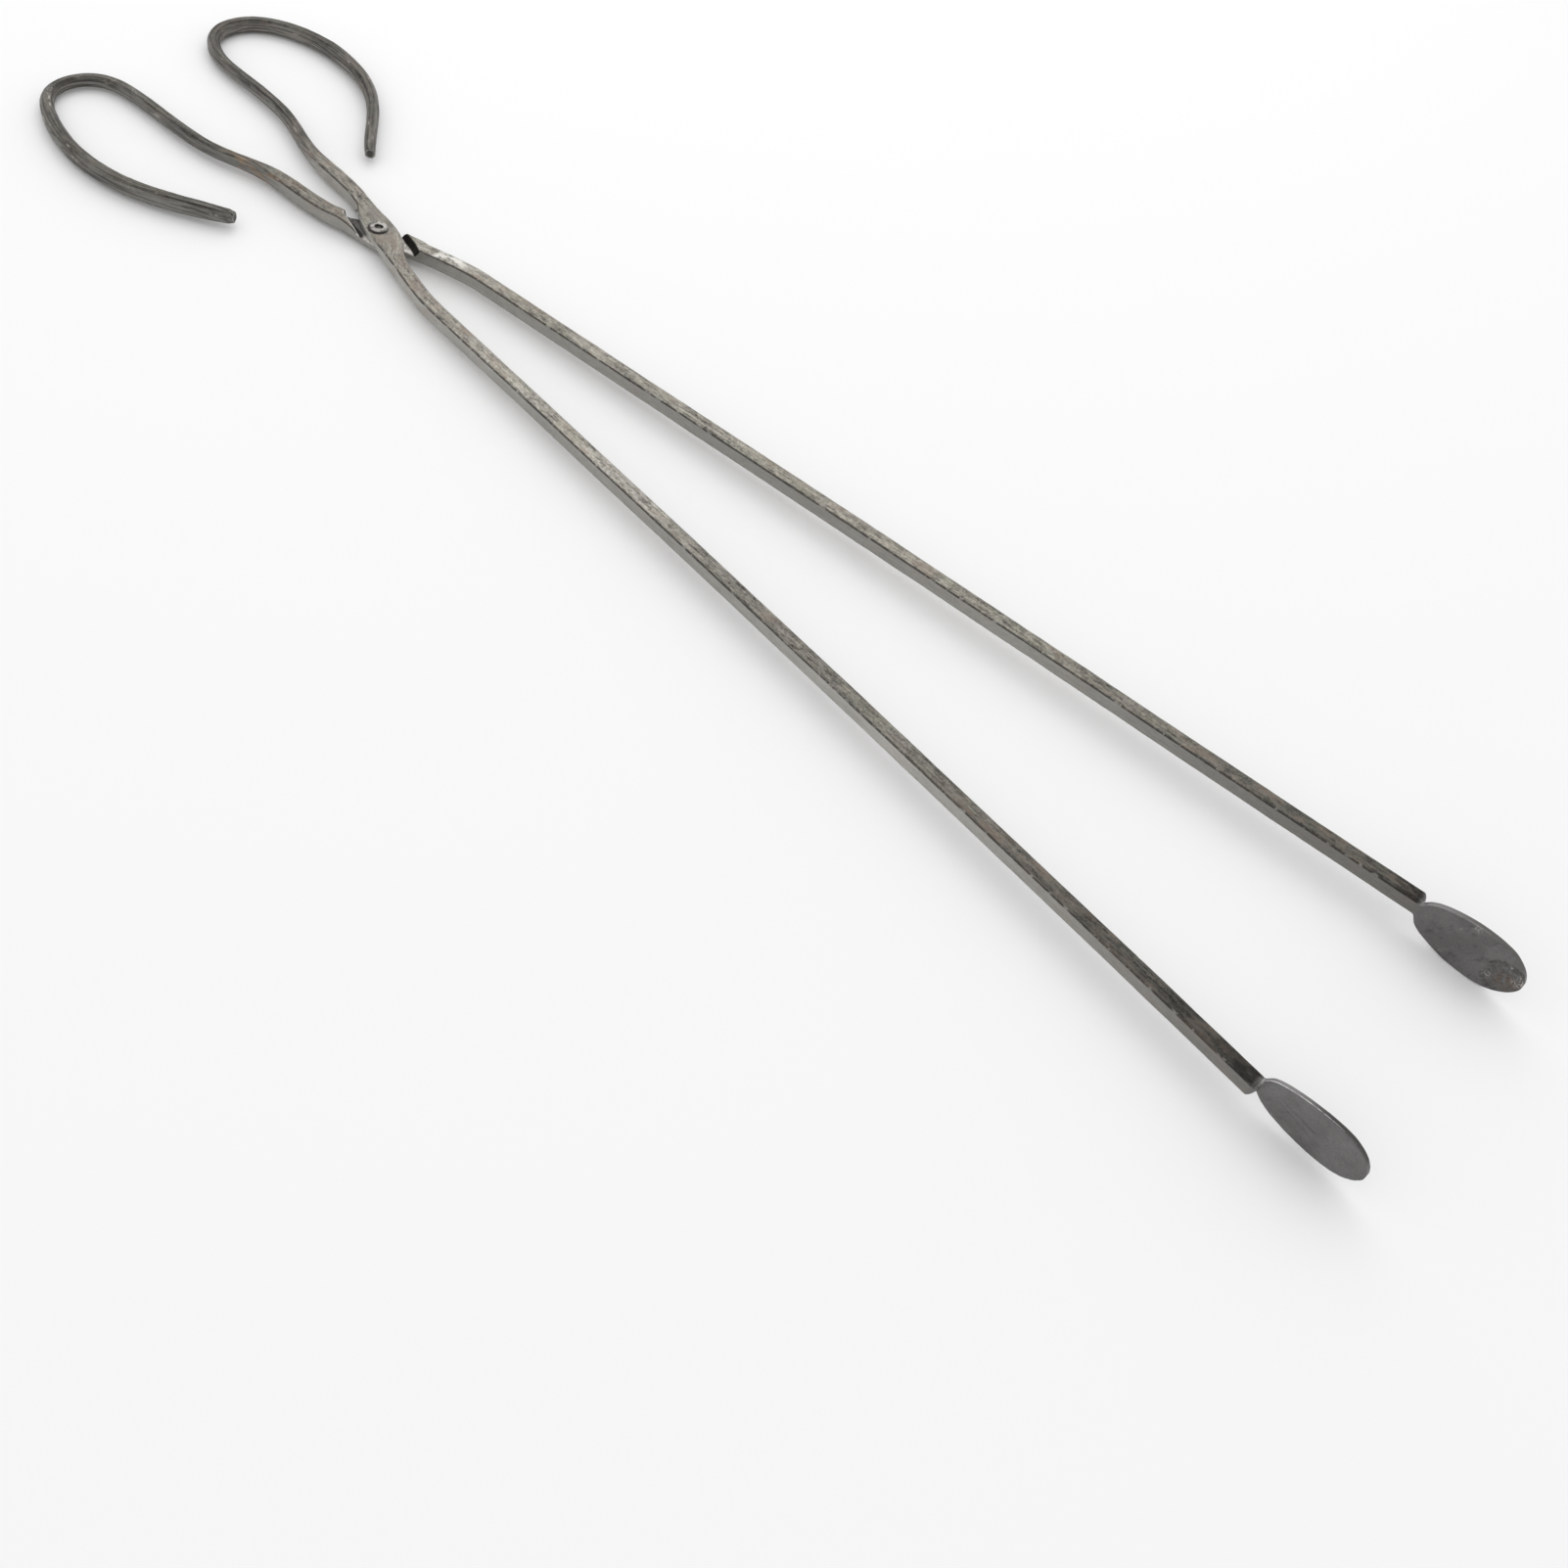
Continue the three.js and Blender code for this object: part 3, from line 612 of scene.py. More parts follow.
# ------------------------------------------------------------------ surface finish in geometry
def finish_arm(g):
    ob = mesh_object(g["name"], g["V"], True, {
        "along": g["along"] / 1000, "around": g["around"] / 1000, "edge": g["edge"], "topness": g["topness"],
        "blade": g["blade"], "shade_and_scale": g["shade_and_scale"], "lapfloor": g["floor"], "corner": g["corner"],
        "facet": g["facet"], "glint": g["glint"], "blackened": g["blackened"]}, True)
    me = ob.data
    co, no = coords_of(me), normals_of(me)
    p = (co - PIVOT) * 1000
    s, a = value_of(me, "along") * 1000, value_of(me, "around") * 1000
    blade, edge = value_of(me, "blade"), value_of(me, "edge")
    sd = 40 * (g["side"] + 2)
    flow = np.c_[s * 0.085, a * 0.20, np.full(len(s), sd)]
    hammer = fbm(flow, 3, 2)                                 # hammered waviness, a cm or so long
    fine = fbm(np.c_[s * 0.45, a * 0.9, np.full(len(s), sd)], 11, 2)
    handle = smooth(330, 290, s)
    amp = 0.075 + 0.05 * handle + 0.02 * blade
    inner_lap = value_of(me, "lapfloor")
    amp = amp * (1 - 0.9 * inner_lap)
    move = hammer * amp + fine * (0.03 + 0.02 * handle) * (1 - 0.8 * inner_lap)
    # worn notches along the bar's edges
    nick = np.clip(fbm(np.c_[s * 0.35, a * 0.1, np.full(len(s), sd + 7)], 23, 2) - 0.25, 0, 1)
    move -= nick * 0.35 * edge
    if g["side"] < 0:
        # scale has flaked off the lower arm's blade near its tip, leaving shallow pits
        dx = s - g["total"]
        face = smooth(0.2, 0.6, -no[:, 1])
        cx, cz = dx - 45.3, p[:, 2] + 1.8
        rr = np.hypot(cx * 0.95, cz) + 1.6 * vnoise(p * 0.3, 77)
        patch = smooth(10.5, 8.6, rr) * smooth(34, 38, dx) * face
        pits = np.clip(fbm(p * 0.62, 31, 3) + 0.02, 0, 1)
        move -= patch * (0.12 + 0.55 * pits) * smooth(54.0, 51.0, dx)
        # the torn edge of the scale round the patch, and a few raised flakes on the face
        arc = np.exp(-((rr - 9.6) / 0.55) ** 2) * smooth(33, 37, dx) * face * (vnoise(p * 0.25, 5) > -0.35)
        move -= arc * 0.30
        flakes = np.exp(-(np.abs(fbm(p * 0.16, 61, 2)) / 0.035) ** 2) * face * smooth(4, 9, dx)
        move += flakes * 0.10 * (vnoise(p * 0.2, 9) > 0.0)
        rim = smooth(12, 16, dx) * smooth(8.5, 12.5, p[:, 2]) * face
        move -= rim * 0.22 * np.clip(fbm(p * 1.0, 41, 2), 0, 1)
        set_value(me, "flake", np.clip(patch + 0.7 * arc, 0, 1))
        spots = sum(w * smooth(r, 0.5 * r, np.hypot(dx - a, (p[:, 2] - b) * 0.9)) for a, b, r, w in FLECKS)
        set_value(me, "flecks", np.clip(face * spots, 0, 1))
        set_value(me, "brown", np.clip(patch * smooth(6.5, 2.0, np.hypot(dx - 45.5, p[:, 2] + 3.0)), 0, 1))
        set_value(me, "arcs", np.clip(arc + 0.55 * flakes * (vnoise(p * 0.2, 9) > 0.0), 0, 1))
    else:
        for key in ("flake", "flecks", "brown"):
            set_value(me, key, np.zeros(len(s)))
        # one long shallow crease across the outer face, painted dark along its line as shade
        face = blade * smooth(0.2, 0.6, -no[:, 1])
        dx = s - g["total"]
        crease = np.exp(-((p[:, 2] - 2.2 + 0.10 * (dx - 18) - 1.2 * vnoise(p * 0.12, 19)) / 0.30) ** 2) * smooth(10, 14, dx) * smooth(34, 26, dx)
        crease += 0.8 * np.exp(-((p[:, 2] + 1.5 + 0.22 * (dx - 18) - 1.0 * vnoise(p * 0.10, 29)) / 0.25) ** 2) * smooth(8, 12, dx) * smooth(30, 24, dx)
        move -= face * crease * 0.12
        set_value(me, "arcs", np.clip(face * crease * 0.7, 0, 1))
    # blades: nothing may grow outwards at the rims
    move = np.where(blade > 0.5, np.minimum(move, 0.05), move)
    co = co + no * (move / 1000)[:, None]
    me.vertices.foreach_set("co", co.astype(np.float32).ravel())
    me.update()
    return ob


# ------------------------------------------------------------------ the rivet
def rivet_object():
    """A semi-tubular rivet: domed head below, shank, rolled lip round an open mouth above."""
    top = 4.0
    a, m = 144, []
    # profile from the middle of the mouth's floor outwards and down to the head's middle
    prof = [(0.0, 4 + CLINCH_H - 1.9), (0.7, 4 + CLINCH_H - 1.85), (1.15, 4 + CLINCH_H - 1.7), (1.38, 4 + CLINCH_H - 1.4),
            (1.48, 4 + CLINCH_H - 1.0), (1.60, 4 + CLINCH_H - 0.55), (1.85, 4 + CLINCH_H - 0.22), (2.3, 4 + CLINCH_H - 0.05),
            (2.95, 4 + CLINCH_H), (3.5, 4 + CLINCH_H - 0.03), (4.1, 4 + CLINCH_H - 0.14), (4.65, 4 + CLINCH_H - 0.33),
            (5.05, 4 + CLINCH_H - 0.56), (5.25, 4 + CLINCH_H - 0.74), (5.28, 4 + HEAD_GAP + 0.05), (5.15, 4 + HEAD_GAP),
            (3.9, 4 + HEAD_GAP), (SHANK_R + 0.02, 4 + HEAD_GAP), (SHANK_R, 4.0), (SHANK_R, 2.0), (SHANK_R, 0.0),
            (SHANK_R, -2.0), (SHANK_R, -4.0), (SHANK_R + 0.02, -4 - HEAD_GAP), (4.2, -4 - HEAD_GAP),
            (5.35, -4 - HEAD_GAP), (5.58, -4 - HEAD_GAP - 0.25), (5.56, -4 - HEAD_GAP - 0.5), (5.3, -4 - HEAD_GAP - 0.95),
            (4.7, -4 - HEAD_GAP - 1.4), (3.8, -4 - HEAD_GAP - 1.75), (2.7, -4 - HEAD_GAP - 1.93),
            (1.4, -4 - HEAD_GAP - 1.99), (0.0, -4 - HEAD_GAP - 2.0)]
    prof = np.array(prof, float)
    prof = uniform_spline(prof, 3)
    keep = np.r_[True, np.linalg.norm(np.diff(prof, axis=0), axis=1) > 1e-4]
    prof = prof[keep]
    th = np.arange(a) / a * 2 * np.pi
    R = prof[1:-1, 0][:, None] * np.ones(a)
    Z = prof[1:-1, 1][:, None] * np.ones(a)
    upper = (Z > 4 + HEAD_GAP + 0.02)
    # the mouth is an ellipse, longer along +X, and set a little off centre
    ell = 1 / np.sqrt((np.cos(th - 0.55) / 1.26) ** 2 + (np.sin(th - 0.55) / 0.84) ** 2)
    wmouth = smooth(4.4, 2.2, R) * upper
    R = R * (1 + (ell[None, :] - 1) * wmouth)
    X, Y = R * np.cos(th), R * np.sin(th)
    X = X + 0.22 * wmouth
    # an uneven rolled edge with small splits on the left side
    lip = smooth(3.0, 5.2, R) * upper
    wav = vnoise(np.c_[np.cos(th) * 1.7, np.sin(th) * 1.7, 0 * th], 3)
    grow = 1 + lip * (0.016 * wav[None, :] - 0.02)
    split = np.zeros(a)
    for at, w, dpt in ((2.72, 0.075, 1.0), (3.15, 0.085, 0.9), (3.6, 0.06, 0.8), (2.2, 0.05, 0.5), (4.3, 0.05, 0.45), (5.9, 0.05, 0.4), (0.6, 0.05, 0.35)):
        dt = np.angle(np.exp(1j * (th - at)))
        split = np.maximum(split, dpt * np.exp(-(dt / w) ** 2))
    band = smooth(3.2, 4.6, R) * upper
    X, Y = X * grow * (1 - 0.07 * band * split), Y * grow * (1 - 0.07 * band * split)
    Z = np.where(upper, Z - band * 0.42 * split * smooth(4 + HEAD_GAP, 4 + HEAD_GAP + 0.4, Z), Z)
    pts = np.c_[X.ravel(), Y.ravel(), Z.ravel()]
    dent = fbm(pts * 0.55, 5, 3)
    face = (smooth(2.4, 3.2, R) * upper * smooth(4.5, 4.75, Z)).ravel()
    pts[:, 2] -= face * 0.10 * np.clip(dent + 0.2, 0, 1)
    bottom = (Z < -4 - HEAD_GAP - 0.3).ravel()
    pts[:, 2] += bottom * 0.08 * np.clip(dent, 0, 1)
    V = pts.reshape(R.shape + (3,))
    wear = np.zeros(R.shape)
    wear[:] = (smooth(4.6, 4.95, Z) * smooth(1.7, 2.3, R) * (1 - np.clip(band * split, 0, 1)))
    away = smooth(-0.75, 0.2, np.cos(th - 2.42))[None, :]       # the side of the mouth in its own shade
    hole = smooth(4.99, 4.82, Z) * smooth(2.6, 2.0, R) * upper * np.clip(0.30 + 0.9 * away * smooth(0.3, 0.9, R), 0, 1)
    low = smooth(-0.6, 0.5, np.cos(th + 1.3))[None, :]       # painted shadow gathers on the front side
    under_shadow = smooth(4.70 + 0.16 * low, 4.40 + 0.14 * low, Z) * upper * smooth(3.0, 4.5, R) * (0.35 + 0.65 * low)
    ob = mesh_object("rivet", V, True, {"wear": wear, "hole": hole, "under_shadow": under_shadow,
                                        "split": (band * split)})
    me = ob.data
    co = coords_of(me)
    # the two end points sit on the axis of their own rings
    co[-2] = PIVOT + np.array([0.22, 0, prof[0, 1]]) / 1000
    co[-1] = PIVOT + np.array([0, 0, prof[-1, 1]]) / 1000
    me.vertices.foreach_set("co", co.astype(np.float32).ravel())
    me.update()
    return ob


# ------------------------------------------------------------------ materials
class Nodes:
    """Small helper to wire shader nodes."""

    def __init__(self, name):
        self.mat = bpy.data.materials.new(name)
        self.mat.use_nodes = True
        self.t = self.mat.node_tree
        self.bsdf = self.t.nodes["Principled BSDF"]

    def put(self, socket, value):
        if hasattr(value, "is_output"):
            self.t.links.new(value, socket)
        else:
            socket.default_value = value

    def math(self, op, a, b=0.0, c=None, clamp=False):
        n = self.t.nodes.new("ShaderNodeMath")
        n.operation, n.use_clamp = op, clamp
        self.put(n.inputs[0], a)
        self.put(n.inputs[1], b)
        if c is not None:
            self.put(n.inputs[2], c)
        return n.outputs[0]

    def attr(self, name):
        n = self.t.nodes.new("ShaderNodeAttribute")
        n.attribute_name = name
        return n.outputs["Fac"]

    def ramp(self, fac, lo, hi, to0=0.0, to1=1.0):
        n = self.t.nodes.new("ShaderNodeMapRange")
        n.interpolation_type = "SMOOTHSTEP"
        self.put(n.inputs["Value"], fac)
        n.inputs["From Min"].default_value = lo
        n.inputs["From Max"].default_value = hi
        self.put(n.inputs["To Min"], to0)
        self.put(n.inputs["To Max"], to1)
        return n.outputs["Result"]

    def combine(self, x, y, z=0.0):
        n = self.t.nodes.new("ShaderNodeCombineXYZ")
        for k, v in enumerate((x, y, z)):
            self.put(n.inputs[k], v)
        return n.outputs[0]

    def noise(self, vec, scale, detail=3.0, rough=0.55, distort=0.0):
        n = self.t.nodes.new("ShaderNodeTexNoise")
        self.put(n.inputs["Vector"], vec)
        n.inputs["Scale"].default_value = scale
        n.inputs["Detail"].default_value = detail
        n.inputs["Roughness"].default_value = rough
        n.inputs["Distortion"].default_value = distort
        return n.outputs["Fac"]

    def voronoi(self, vec, scale):
        n = self.t.nodes.new("ShaderNodeTexVoronoi")
        self.put(n.inputs["Vector"], vec)
        n.inputs["Scale"].default_value = scale
        return n.outputs["Distance"]

    def mix(self, fac, a, b):
        n = self.t.nodes.new("ShaderNodeMix")
        n.data_type = "RGBA"
        self.put(n.inputs["Factor"], fac)
        self.put(n.inputs[6], a)
        self.put(n.inputs[7], b)
        return n.outputs[2]

    def curve(self, value, stops, hi):
        """Grey level by a list of (position, level) stops over 0..hi."""
        pos = self.math("DIVIDE", value, hi)
        n = self.t.nodes.new("ShaderNodeValToRGB")
        self.put(n.inputs[0], pos)
        e = n.color_ramp.elements
        while len(e) > 1:
            e.remove(e[-1])
        for k, (at, col) in enumerate(stops):
            q = e[0] if k == 0 else e.new(at / hi)
            q.position = at / hi
            col = col if isinstance(col, tuple) else (col, col, col)
            q.color = (*col, 1)
        return n.outputs[0]

    def coords(self):
        n = self.t.nodes.new("ShaderNodeTexCoord")
        return n.outputs["Object"]

    def bump(self, height, strength, distance, normal=None):
        n = self.t.nodes.new("ShaderNodeBump")
        self.put(n.inputs["Height"], height)
        n.inputs["Strength"].default_value = strength
        n.inputs["Distance"].default_value = distance
        if normal is not None:
            self.put(n.inputs["Normal"], normal)
        return n.outputs[0]


def grey(level, warm=0.0, green=0.0):
    """A linear colour from an sRGB-like level 0..255 with a slight tint."""
    def lin(v):
        v = min(max(v / 255, 0), 1)
        return v / 12.92 if v <= 0.04045 else ((v + 0.055) / 1.055) ** 2.4
    return (lin(level * (1 + warm)), lin(level * (1 + green)), lin(level * (1 - warm)))


def arm_material(name, top_stops, side_stops, worn_at, rust_at, rust_colour, rust_mix, blade_level, rim_level, line_level, seed):
    """Worn forged steel; levels by distance from the handle end, in metres."""
    k = Nodes(name)
    along, around = k.attr("along"), k.attr("around")
    topness, edge, blade = k.attr("topness"), k.attr("edge"), k.attr("blade")
    shade_and_scale, flake, floor_ = k.math("MULTIPLY", k.attr("shade_and_scale"), 1.25, clamp=True), k.attr("flake"), k.attr("lapfloor")
    obj = k.coords()
    flow = k.combine(along, around, seed)                     # metres along and round the bar
    halfflow = k.combine(k.math("MULTIPLY", along, 0.38), around, seed)
    streakv = k.combine(k.math("MULTIPLY", along, 0.045), around, seed)
    handle = k.ramp(along, 0.296, 0.330, 1.0, 0.0)
    rein = k.math("SUBTRACT", 1.0, k.math("ADD", handle, blade), clamp=True)

    # separate grey levels for top faces and sides; the darker tops are partly painted shade against the light from
    # above
    top = k.curve(along, top_stops, LENGTH)
    side = k.curve(along, side_stops, LENGTH)
    base = k.mix(topness, side, top)

    # forge colours: olive, brown and faint purple clouds under the grey
    tint = k.noise(flow, 75, 5, 0.7)
    hue = k.mix(k.ramp(tint, 0.36, 0.50), (0.97, 1.0, 0.94, 1), (1.0, 0.995, 0.98, 1))
    hue = k.mix(k.ramp(tint, 0.56, 0.72), hue, (1.06, 0.975, 0.93, 1))
    mulh = k.t.nodes.new("ShaderNodeVectorMath")
    mulh.operation = "MULTIPLY"
    k.put(mulh.inputs[0], base)
    k.put(mulh.inputs[1], k.mix(k.math("ADD", 0.3, k.math("MULTIPLY", topness, 0.7)), (1, 1, 1, 1), hue))
    base = mulh.outputs[0]

    # mottling in three sizes, stretched along the bar, stronger on the top faces
    cloud = k.noise(halfflow, 150, 4, 0.62)
    patch = k.noise(halfflow, 480, 4, 0.65)
    grain = k.noise(flow, 950, 3, 0.65)
    streak = k.noise(streakv, 900, 4, 0.7)
    tone = k.math("ADD", k.ramp(cloud, 0.34, 0.66, -0.18, 0.20), k.ramp(patch, 0.34, 0.66, -0.25, 0.30))
    tone = k.math("ADD", tone, k.ramp(grain, 0.32, 0.68, -0.24, 0.26))
    tone = k.math("ADD", tone, k.ramp(streak, 0.34, 0.66, -0.28, 0.30))
    amount = k.math("ADD", 0.15, k.math("MULTIPLY", topness, 0.85))
    amount = k.math("MULTIPLY", amount, k.math("SUBTRACT", 1.3, k.math("MULTIPLY", handle, 0.55)))
    amount = k.math("MULTIPLY", amount, k.math("SUBTRACT", 1.0, k.math("MULTIPLY", k.attr("eye"), 0.35)))
    tone = k.math("MULTIPLY", tone, amount)
    # the handles show long drawn lines instead
    lines = k.noise(streakv, 760, 3, 0.7)
    drawn = k.math("MULTIPLY", handle, k.ramp(lines, 0.38, 0.60, -0.55, 0.40))
    vary = k.math("ADD", 1.0, k.math("ADD", tone, drawn))
    mul = k.t.nodes.new("ShaderNodeVectorMath")
    mul.operation = "SCALE"
    k.put(mul.inputs[0], base)
    k.put(mul.inputs["Scale"], vary)
    col = mul.outputs[0]

    # dark scale that fills low spots, and bright rubbed flecks in loose groups
    speck = k.math("MULTIPLY", k.ramp(k.noise(halfflow, 1150, 3, 0.6), 0.60, 0.70), k.ramp(cloud, 0.62, 0.42, 0.25, 1.0))
    speck = k.math("MULTIPLY", speck, k.math("ADD", 0.10, k.math("MULTIPLY", topness, 0.45)))
    col = k.mix(speck, col, (*grey(62, 0.05), 1))
    group = k.ramp(k.noise(flow, 26, 3, 0.6), 0.52, 0.64)
    worn_here = k.curve(along, worn_at, LENGTH)
    group = k.math("MAXIMUM", k.math("MULTIPLY", group, 0.45), k.math("MULTIPLY", worn_here, k.ramp(k.noise(flow, 120, 3, 0.6), 0.40, 0.54)))
    fleck = k.math("MULTIPLY", k.ramp(k.noise(halfflow, 1350, 5, 0.75), 0.46, 0.60), group)
    fleck = k.math("MULTIPLY", fleck, k.math("ADD", 0.08, k.math("MULTIPLY", topness, 0.60)))
    fleck = k.math("MULTIPLY", fleck, k.math("SUBTRACT", 1.0, k.ramp(along, 0.78, 0.92, 0.0, 0.9)))
    fleck = k.math("MULTIPLY", fleck, k.math("SUBTRACT", 1.0, blade), clamp=True)
    col = k.mix(fleck, col, (*grey(186, 0.03, 0.01), 1))
    pale = k.math("MULTIPLY", k.math("MULTIPLY", worn_here, topness), k.ramp(k.noise(halfflow, 260, 4, 0.65), 0.48, 0.62, 0.0, 0.50))
    col = k.mix(pale, col, (*grey(174, 0.03, 0.01), 1))
    polished = k.math("MULTIPLY", k.attr("clean"), k.ramp(k.noise(halfflow, 240, 4, 0.65), 0.44, 0.56, 0.0, 0.85), clamp=True)
    col = k.mix(polished, col, (*grey(208, 0.02, 0.01), 1))
    # a breath of brown between the clean patches of the reins
    warm = k.math("MULTIPLY", topness, k.ramp(k.noise(halfflow, 150, 4, 0.65), 0.53, 0.66, 0.0, 0.42))
    warm = k.math("MULTIPLY", warm, k.math("SUBTRACT", 1.0, k.math("MAXIMUM", blade, handle)), clamp=True)
    col = k.mix(warm, col, (*grey(112, 0.12, -0.02), 1))

    # a painted dark reflection along the corners, strongest on the front top corner, broken by bright rubbed spots
    worn = k.ramp(k.noise(flow, 210, 4, 0.65), 0.54, 0.66)
    eye_zone = k.attr("rubbed")
    painted_dark_edge = k.math("MULTIPLY", edge, k.ramp(k.noise(flow, 300, 4, 0.65), 0.30, 0.50, 0.55, 1.0))
    painted_dark_edge = k.math("MULTIPLY", painted_dark_edge, k.math("SUBTRACT", 1.0, k.math("MULTIPLY", worn, 0.6)))
    painted_dark_edge = k.math("MULTIPLY", painted_dark_edge, k.math("SUBTRACT", 1.0, eye_zone), clamp=True)
    col = k.mix(k.math("MULTIPLY", painted_dark_edge, 0.86), col, (*grey(38, 0.06, 0.01), 1))
    bright_edge = k.math("MULTIPLY", edge, k.math("MULTIPLY", worn, 0.30))
    col = k.mix(bright_edge, col, (*grey(176, 0.02), 1))

    # handles: painted shade lines beside the facet edges, and thin painted highlights on the bends
    facet = k.attr("facet")
    facet_dark_line = k.math("MULTIPLY", facet, k.ramp(k.noise(streakv, 420, 3, 0.6), 0.40, 0.56))
    col = k.mix(k.math("MULTIPLY", facet_dark_line, 0.72), col, (*grey(40, 0.03, 0.01), 1))
    glare = k.math("MULTIPLY", facet, k.ramp(k.noise(halfflow, 170, 4, 0.65), 0.58, 0.68))
    col = k.mix(k.math("MULTIPLY", glare, 0.75), col, (*grey(196, 0.02, 0.01), 1))

    # brown heat colour and rust at the kinks and bends
    rust = k.curve(along, rust_at, LENGTH)
    rust = k.math("MULTIPLY", rust, k.ramp(k.noise(halfflow, 170, 5, 0.68), 0.45, 0.60))
    col = k.mix(k.math("MULTIPLY", rust, rust_mix), col, (*rust_colour, 1))

    # blades: even dark grey, faintly clouded and scratched
    bcol = k.mix(k.ramp(k.noise(obj, 75, 4, 0.6), 0.36, 0.64), (*grey(blade_level - 5, 0.01), 1), (*grey(blade_level + 6, 0.008), 1))
    bcol = k.mix(k.ramp(k.noise(obj, 1000, 5, 0.8), 0.52, 0.72, 0.0, 0.40), bcol, (*grey(blade_level + 42), 1))
    bcol = k.mix(k.ramp(k.noise(obj, 620, 5, 0.8), 0.47, 0.30, 0.0, 0.60), bcol, (*grey(blade_level - 34), 1))
    scratchv = k.t.nodes.new("ShaderNodeMapping")
    scratchv.vector_type = "TEXTURE"
    k.put(scratchv.inputs["Vector"], obj)
    scratchv.inputs["Rotation"].default_value = (0, math.radians(28), 0)
    scratchv.inputs["Scale"].default_value = (40, 1, 1)
    scr = k.noise(scratchv.outputs[0], 2200, 2, 0.5)
    bcol = k.mix(k.ramp(scr, 0.60, 0.72, 0.0, 0.10 if line_level > 0.5 else 0.0), bcol, (*grey(blade_level + 58), 1))
    # dark marks: torn scale edges and raised flakes on the lower blade, painted shade along the crease on the upper
    # blade
    arcs = k.attr("arcs")
    bcol = k.mix(k.math("MULTIPLY", arcs, 0.65, clamp=True), bcol, (*grey(34, 0.03), 1))
    col = k.mix(blade, col, bcol)
    black = k.math("MULTIPLY", k.attr("blackened"), k.ramp(patch, 0.62, 0.46, 0.55, 0.97))
    col = k.mix(black, col, (*grey(25, 0.10), 1))
    # the blade rims, which face up and down, get their own grey: partly painted shade against the light from above
    rim = k.attr("bladerim")
    rimcol = k.mix(k.ramp(along, 1.020, 1.040), (*grey(blade_level + 14, 0.01), 1), (*grey(blade_level + rim_level, 0.03), 1))
    col = k.mix(k.math("MULTIPLY", rim, 0.9), col, rimcol)
    # painted highlight lines along the blade's rim corners, strongest on the near blade
    line = k.math("MULTIPLY", k.attr("corner"), k.ramp(k.noise(obj, 230, 4, 0.7), 0.34, 0.52, 0.25, 1.0))
    line = k.math("MULTIPLY", line, k.ramp(along, 1.030, 1.050, line_level, 0.10 * line_level))
    col = k.mix(line, col, (*grey(205, 0.01), 1))
    # flaked scale near the tip: brown, pitted, with bright crumbs
    fl = k.math("MULTIPLY", flake, k.ramp(k.noise(obj, 330, 4, 0.7), 0.36, 0.56))
    col = k.mix(k.math("MULTIPLY", fl, 0.62), col, (*grey(64, 0.06, -0.01), 1))
    col = k.mix(k.math("MULTIPLY", k.math("MULTIPLY", k.attr("brown"), fl), 0.85), col, (*grey(82, 0.17, -0.02), 1))
    pit = k.math("MULTIPLY", flake, k.ramp(k.noise(obj, 820, 5, 0.75), 0.47, 0.36))
    col = k.mix(k.math("MULTIPLY", pit, 0.85), col, (*grey(26, 0.05), 1))
    crumbs = k.math("MULTIPLY", k.attr("flecks"), k.ramp(k.noise(obj, 1500, 4, 0.75), 0.52, 0.62))
    col = k.mix(crumbs, col, (*grey(196, 0.03), 1))

    # painted highlights from the glint mask: the rim of the recess wall and the lip of the bar's end
    shine = k.math("MULTIPLY", k.attr("glint"), k.ramp(k.noise(obj, 420, 4, 0.7), 0.36, 0.56, 0.15, 1.0))
    col = k.mix(shine, col, (*grey(178, 0.015), 1))

    # the cut end of a handle: dark hollow face in a bright rim
    col = k.mix(k.math("MULTIPLY", k.attr("endface"), 0.8), col, (*grey(58, 0.04), 1))
    col = k.mix(k.math("MULTIPLY", k.attr("endrim"), k.ramp(grain, 0.42, 0.58, 0.2, 0.8)), col, (*grey(170, 0.01), 1))

    # the walls of the laps get painted shade with dark scale; their floors are rubbed bright in places
    rubbed = k.math("MULTIPLY", floor_, k.ramp(k.noise(obj, 240, 3, 0.6), 0.36, 0.54, 0.15, 0.95))
    col = k.mix(rubbed, col, (*grey(198, 0.02), 1))
    col = k.mix(k.math("MULTIPLY", shade_and_scale, 0.94, clamp=True), col, (*grey(22, 0.07, -0.01), 1))
    k.put(k.bsdf.inputs["Base Color"], col)

    rough = k.math("ADD", k.ramp(cloud, 0.3, 0.7, 0.40, 0.52), k.math("MULTIPLY", painted_dark_edge, 0.12))
    rough = k.math("ADD", rough, k.math("MULTIPLY", fl, 0.2))
    rough = k.math("ADD", rough, k.math("MULTIPLY", shade_and_scale, 0.35))
    rough = k.math("SUBTRACT", rough, k.math("MULTIPLY", k.math("ADD", fleck, bright_edge), 0.10), clamp=True)
    k.put(k.bsdf.inputs["Roughness"], rough)
    metal = k.math("SUBTRACT", 0.66, k.math("MULTIPLY", k.math("ADD", k.math("ADD", rust, fl), shade_and_scale), 0.5), clamp=True)
    k.put(k.bsdf.inputs["Metallic"], metal)
    k.put(k.bsdf.inputs["Specular IOR Level"], k.math("SUBTRACT", 0.5, k.math("MULTIPLY", shade_and_scale, 0.45), clamp=True))

    h = k.math("ADD", k.math("MULTIPLY", grain, 0.7), k.math("MULTIPLY", streak, 0.5))
    h = k.math("ADD", h, k.math("MULTIPLY", k.noise(obj, 2200, 2, 0.5), 0.15))
    h = k.math("ADD", h, k.math("MULTIPLY", k.math("MULTIPLY", flake, k.noise(obj, 800, 4, 0.7)), 1.6))
    h = k.math("MULTIPLY", h, k.math("SUBTRACT", 1.0, k.math("MAXIMUM", shade_and_scale, floor_)))
    wide = k.bump(k.math("MULTIPLY", patch, k.math("SUBTRACT", 1.0, k.math("MAXIMUM", shade_and_scale, floor_))), 0.5, 0.00045)
    k.put(k.bsdf.inputs["Normal"], k.bump(h, 0.5, 0.00018, wide))
    return k.mat


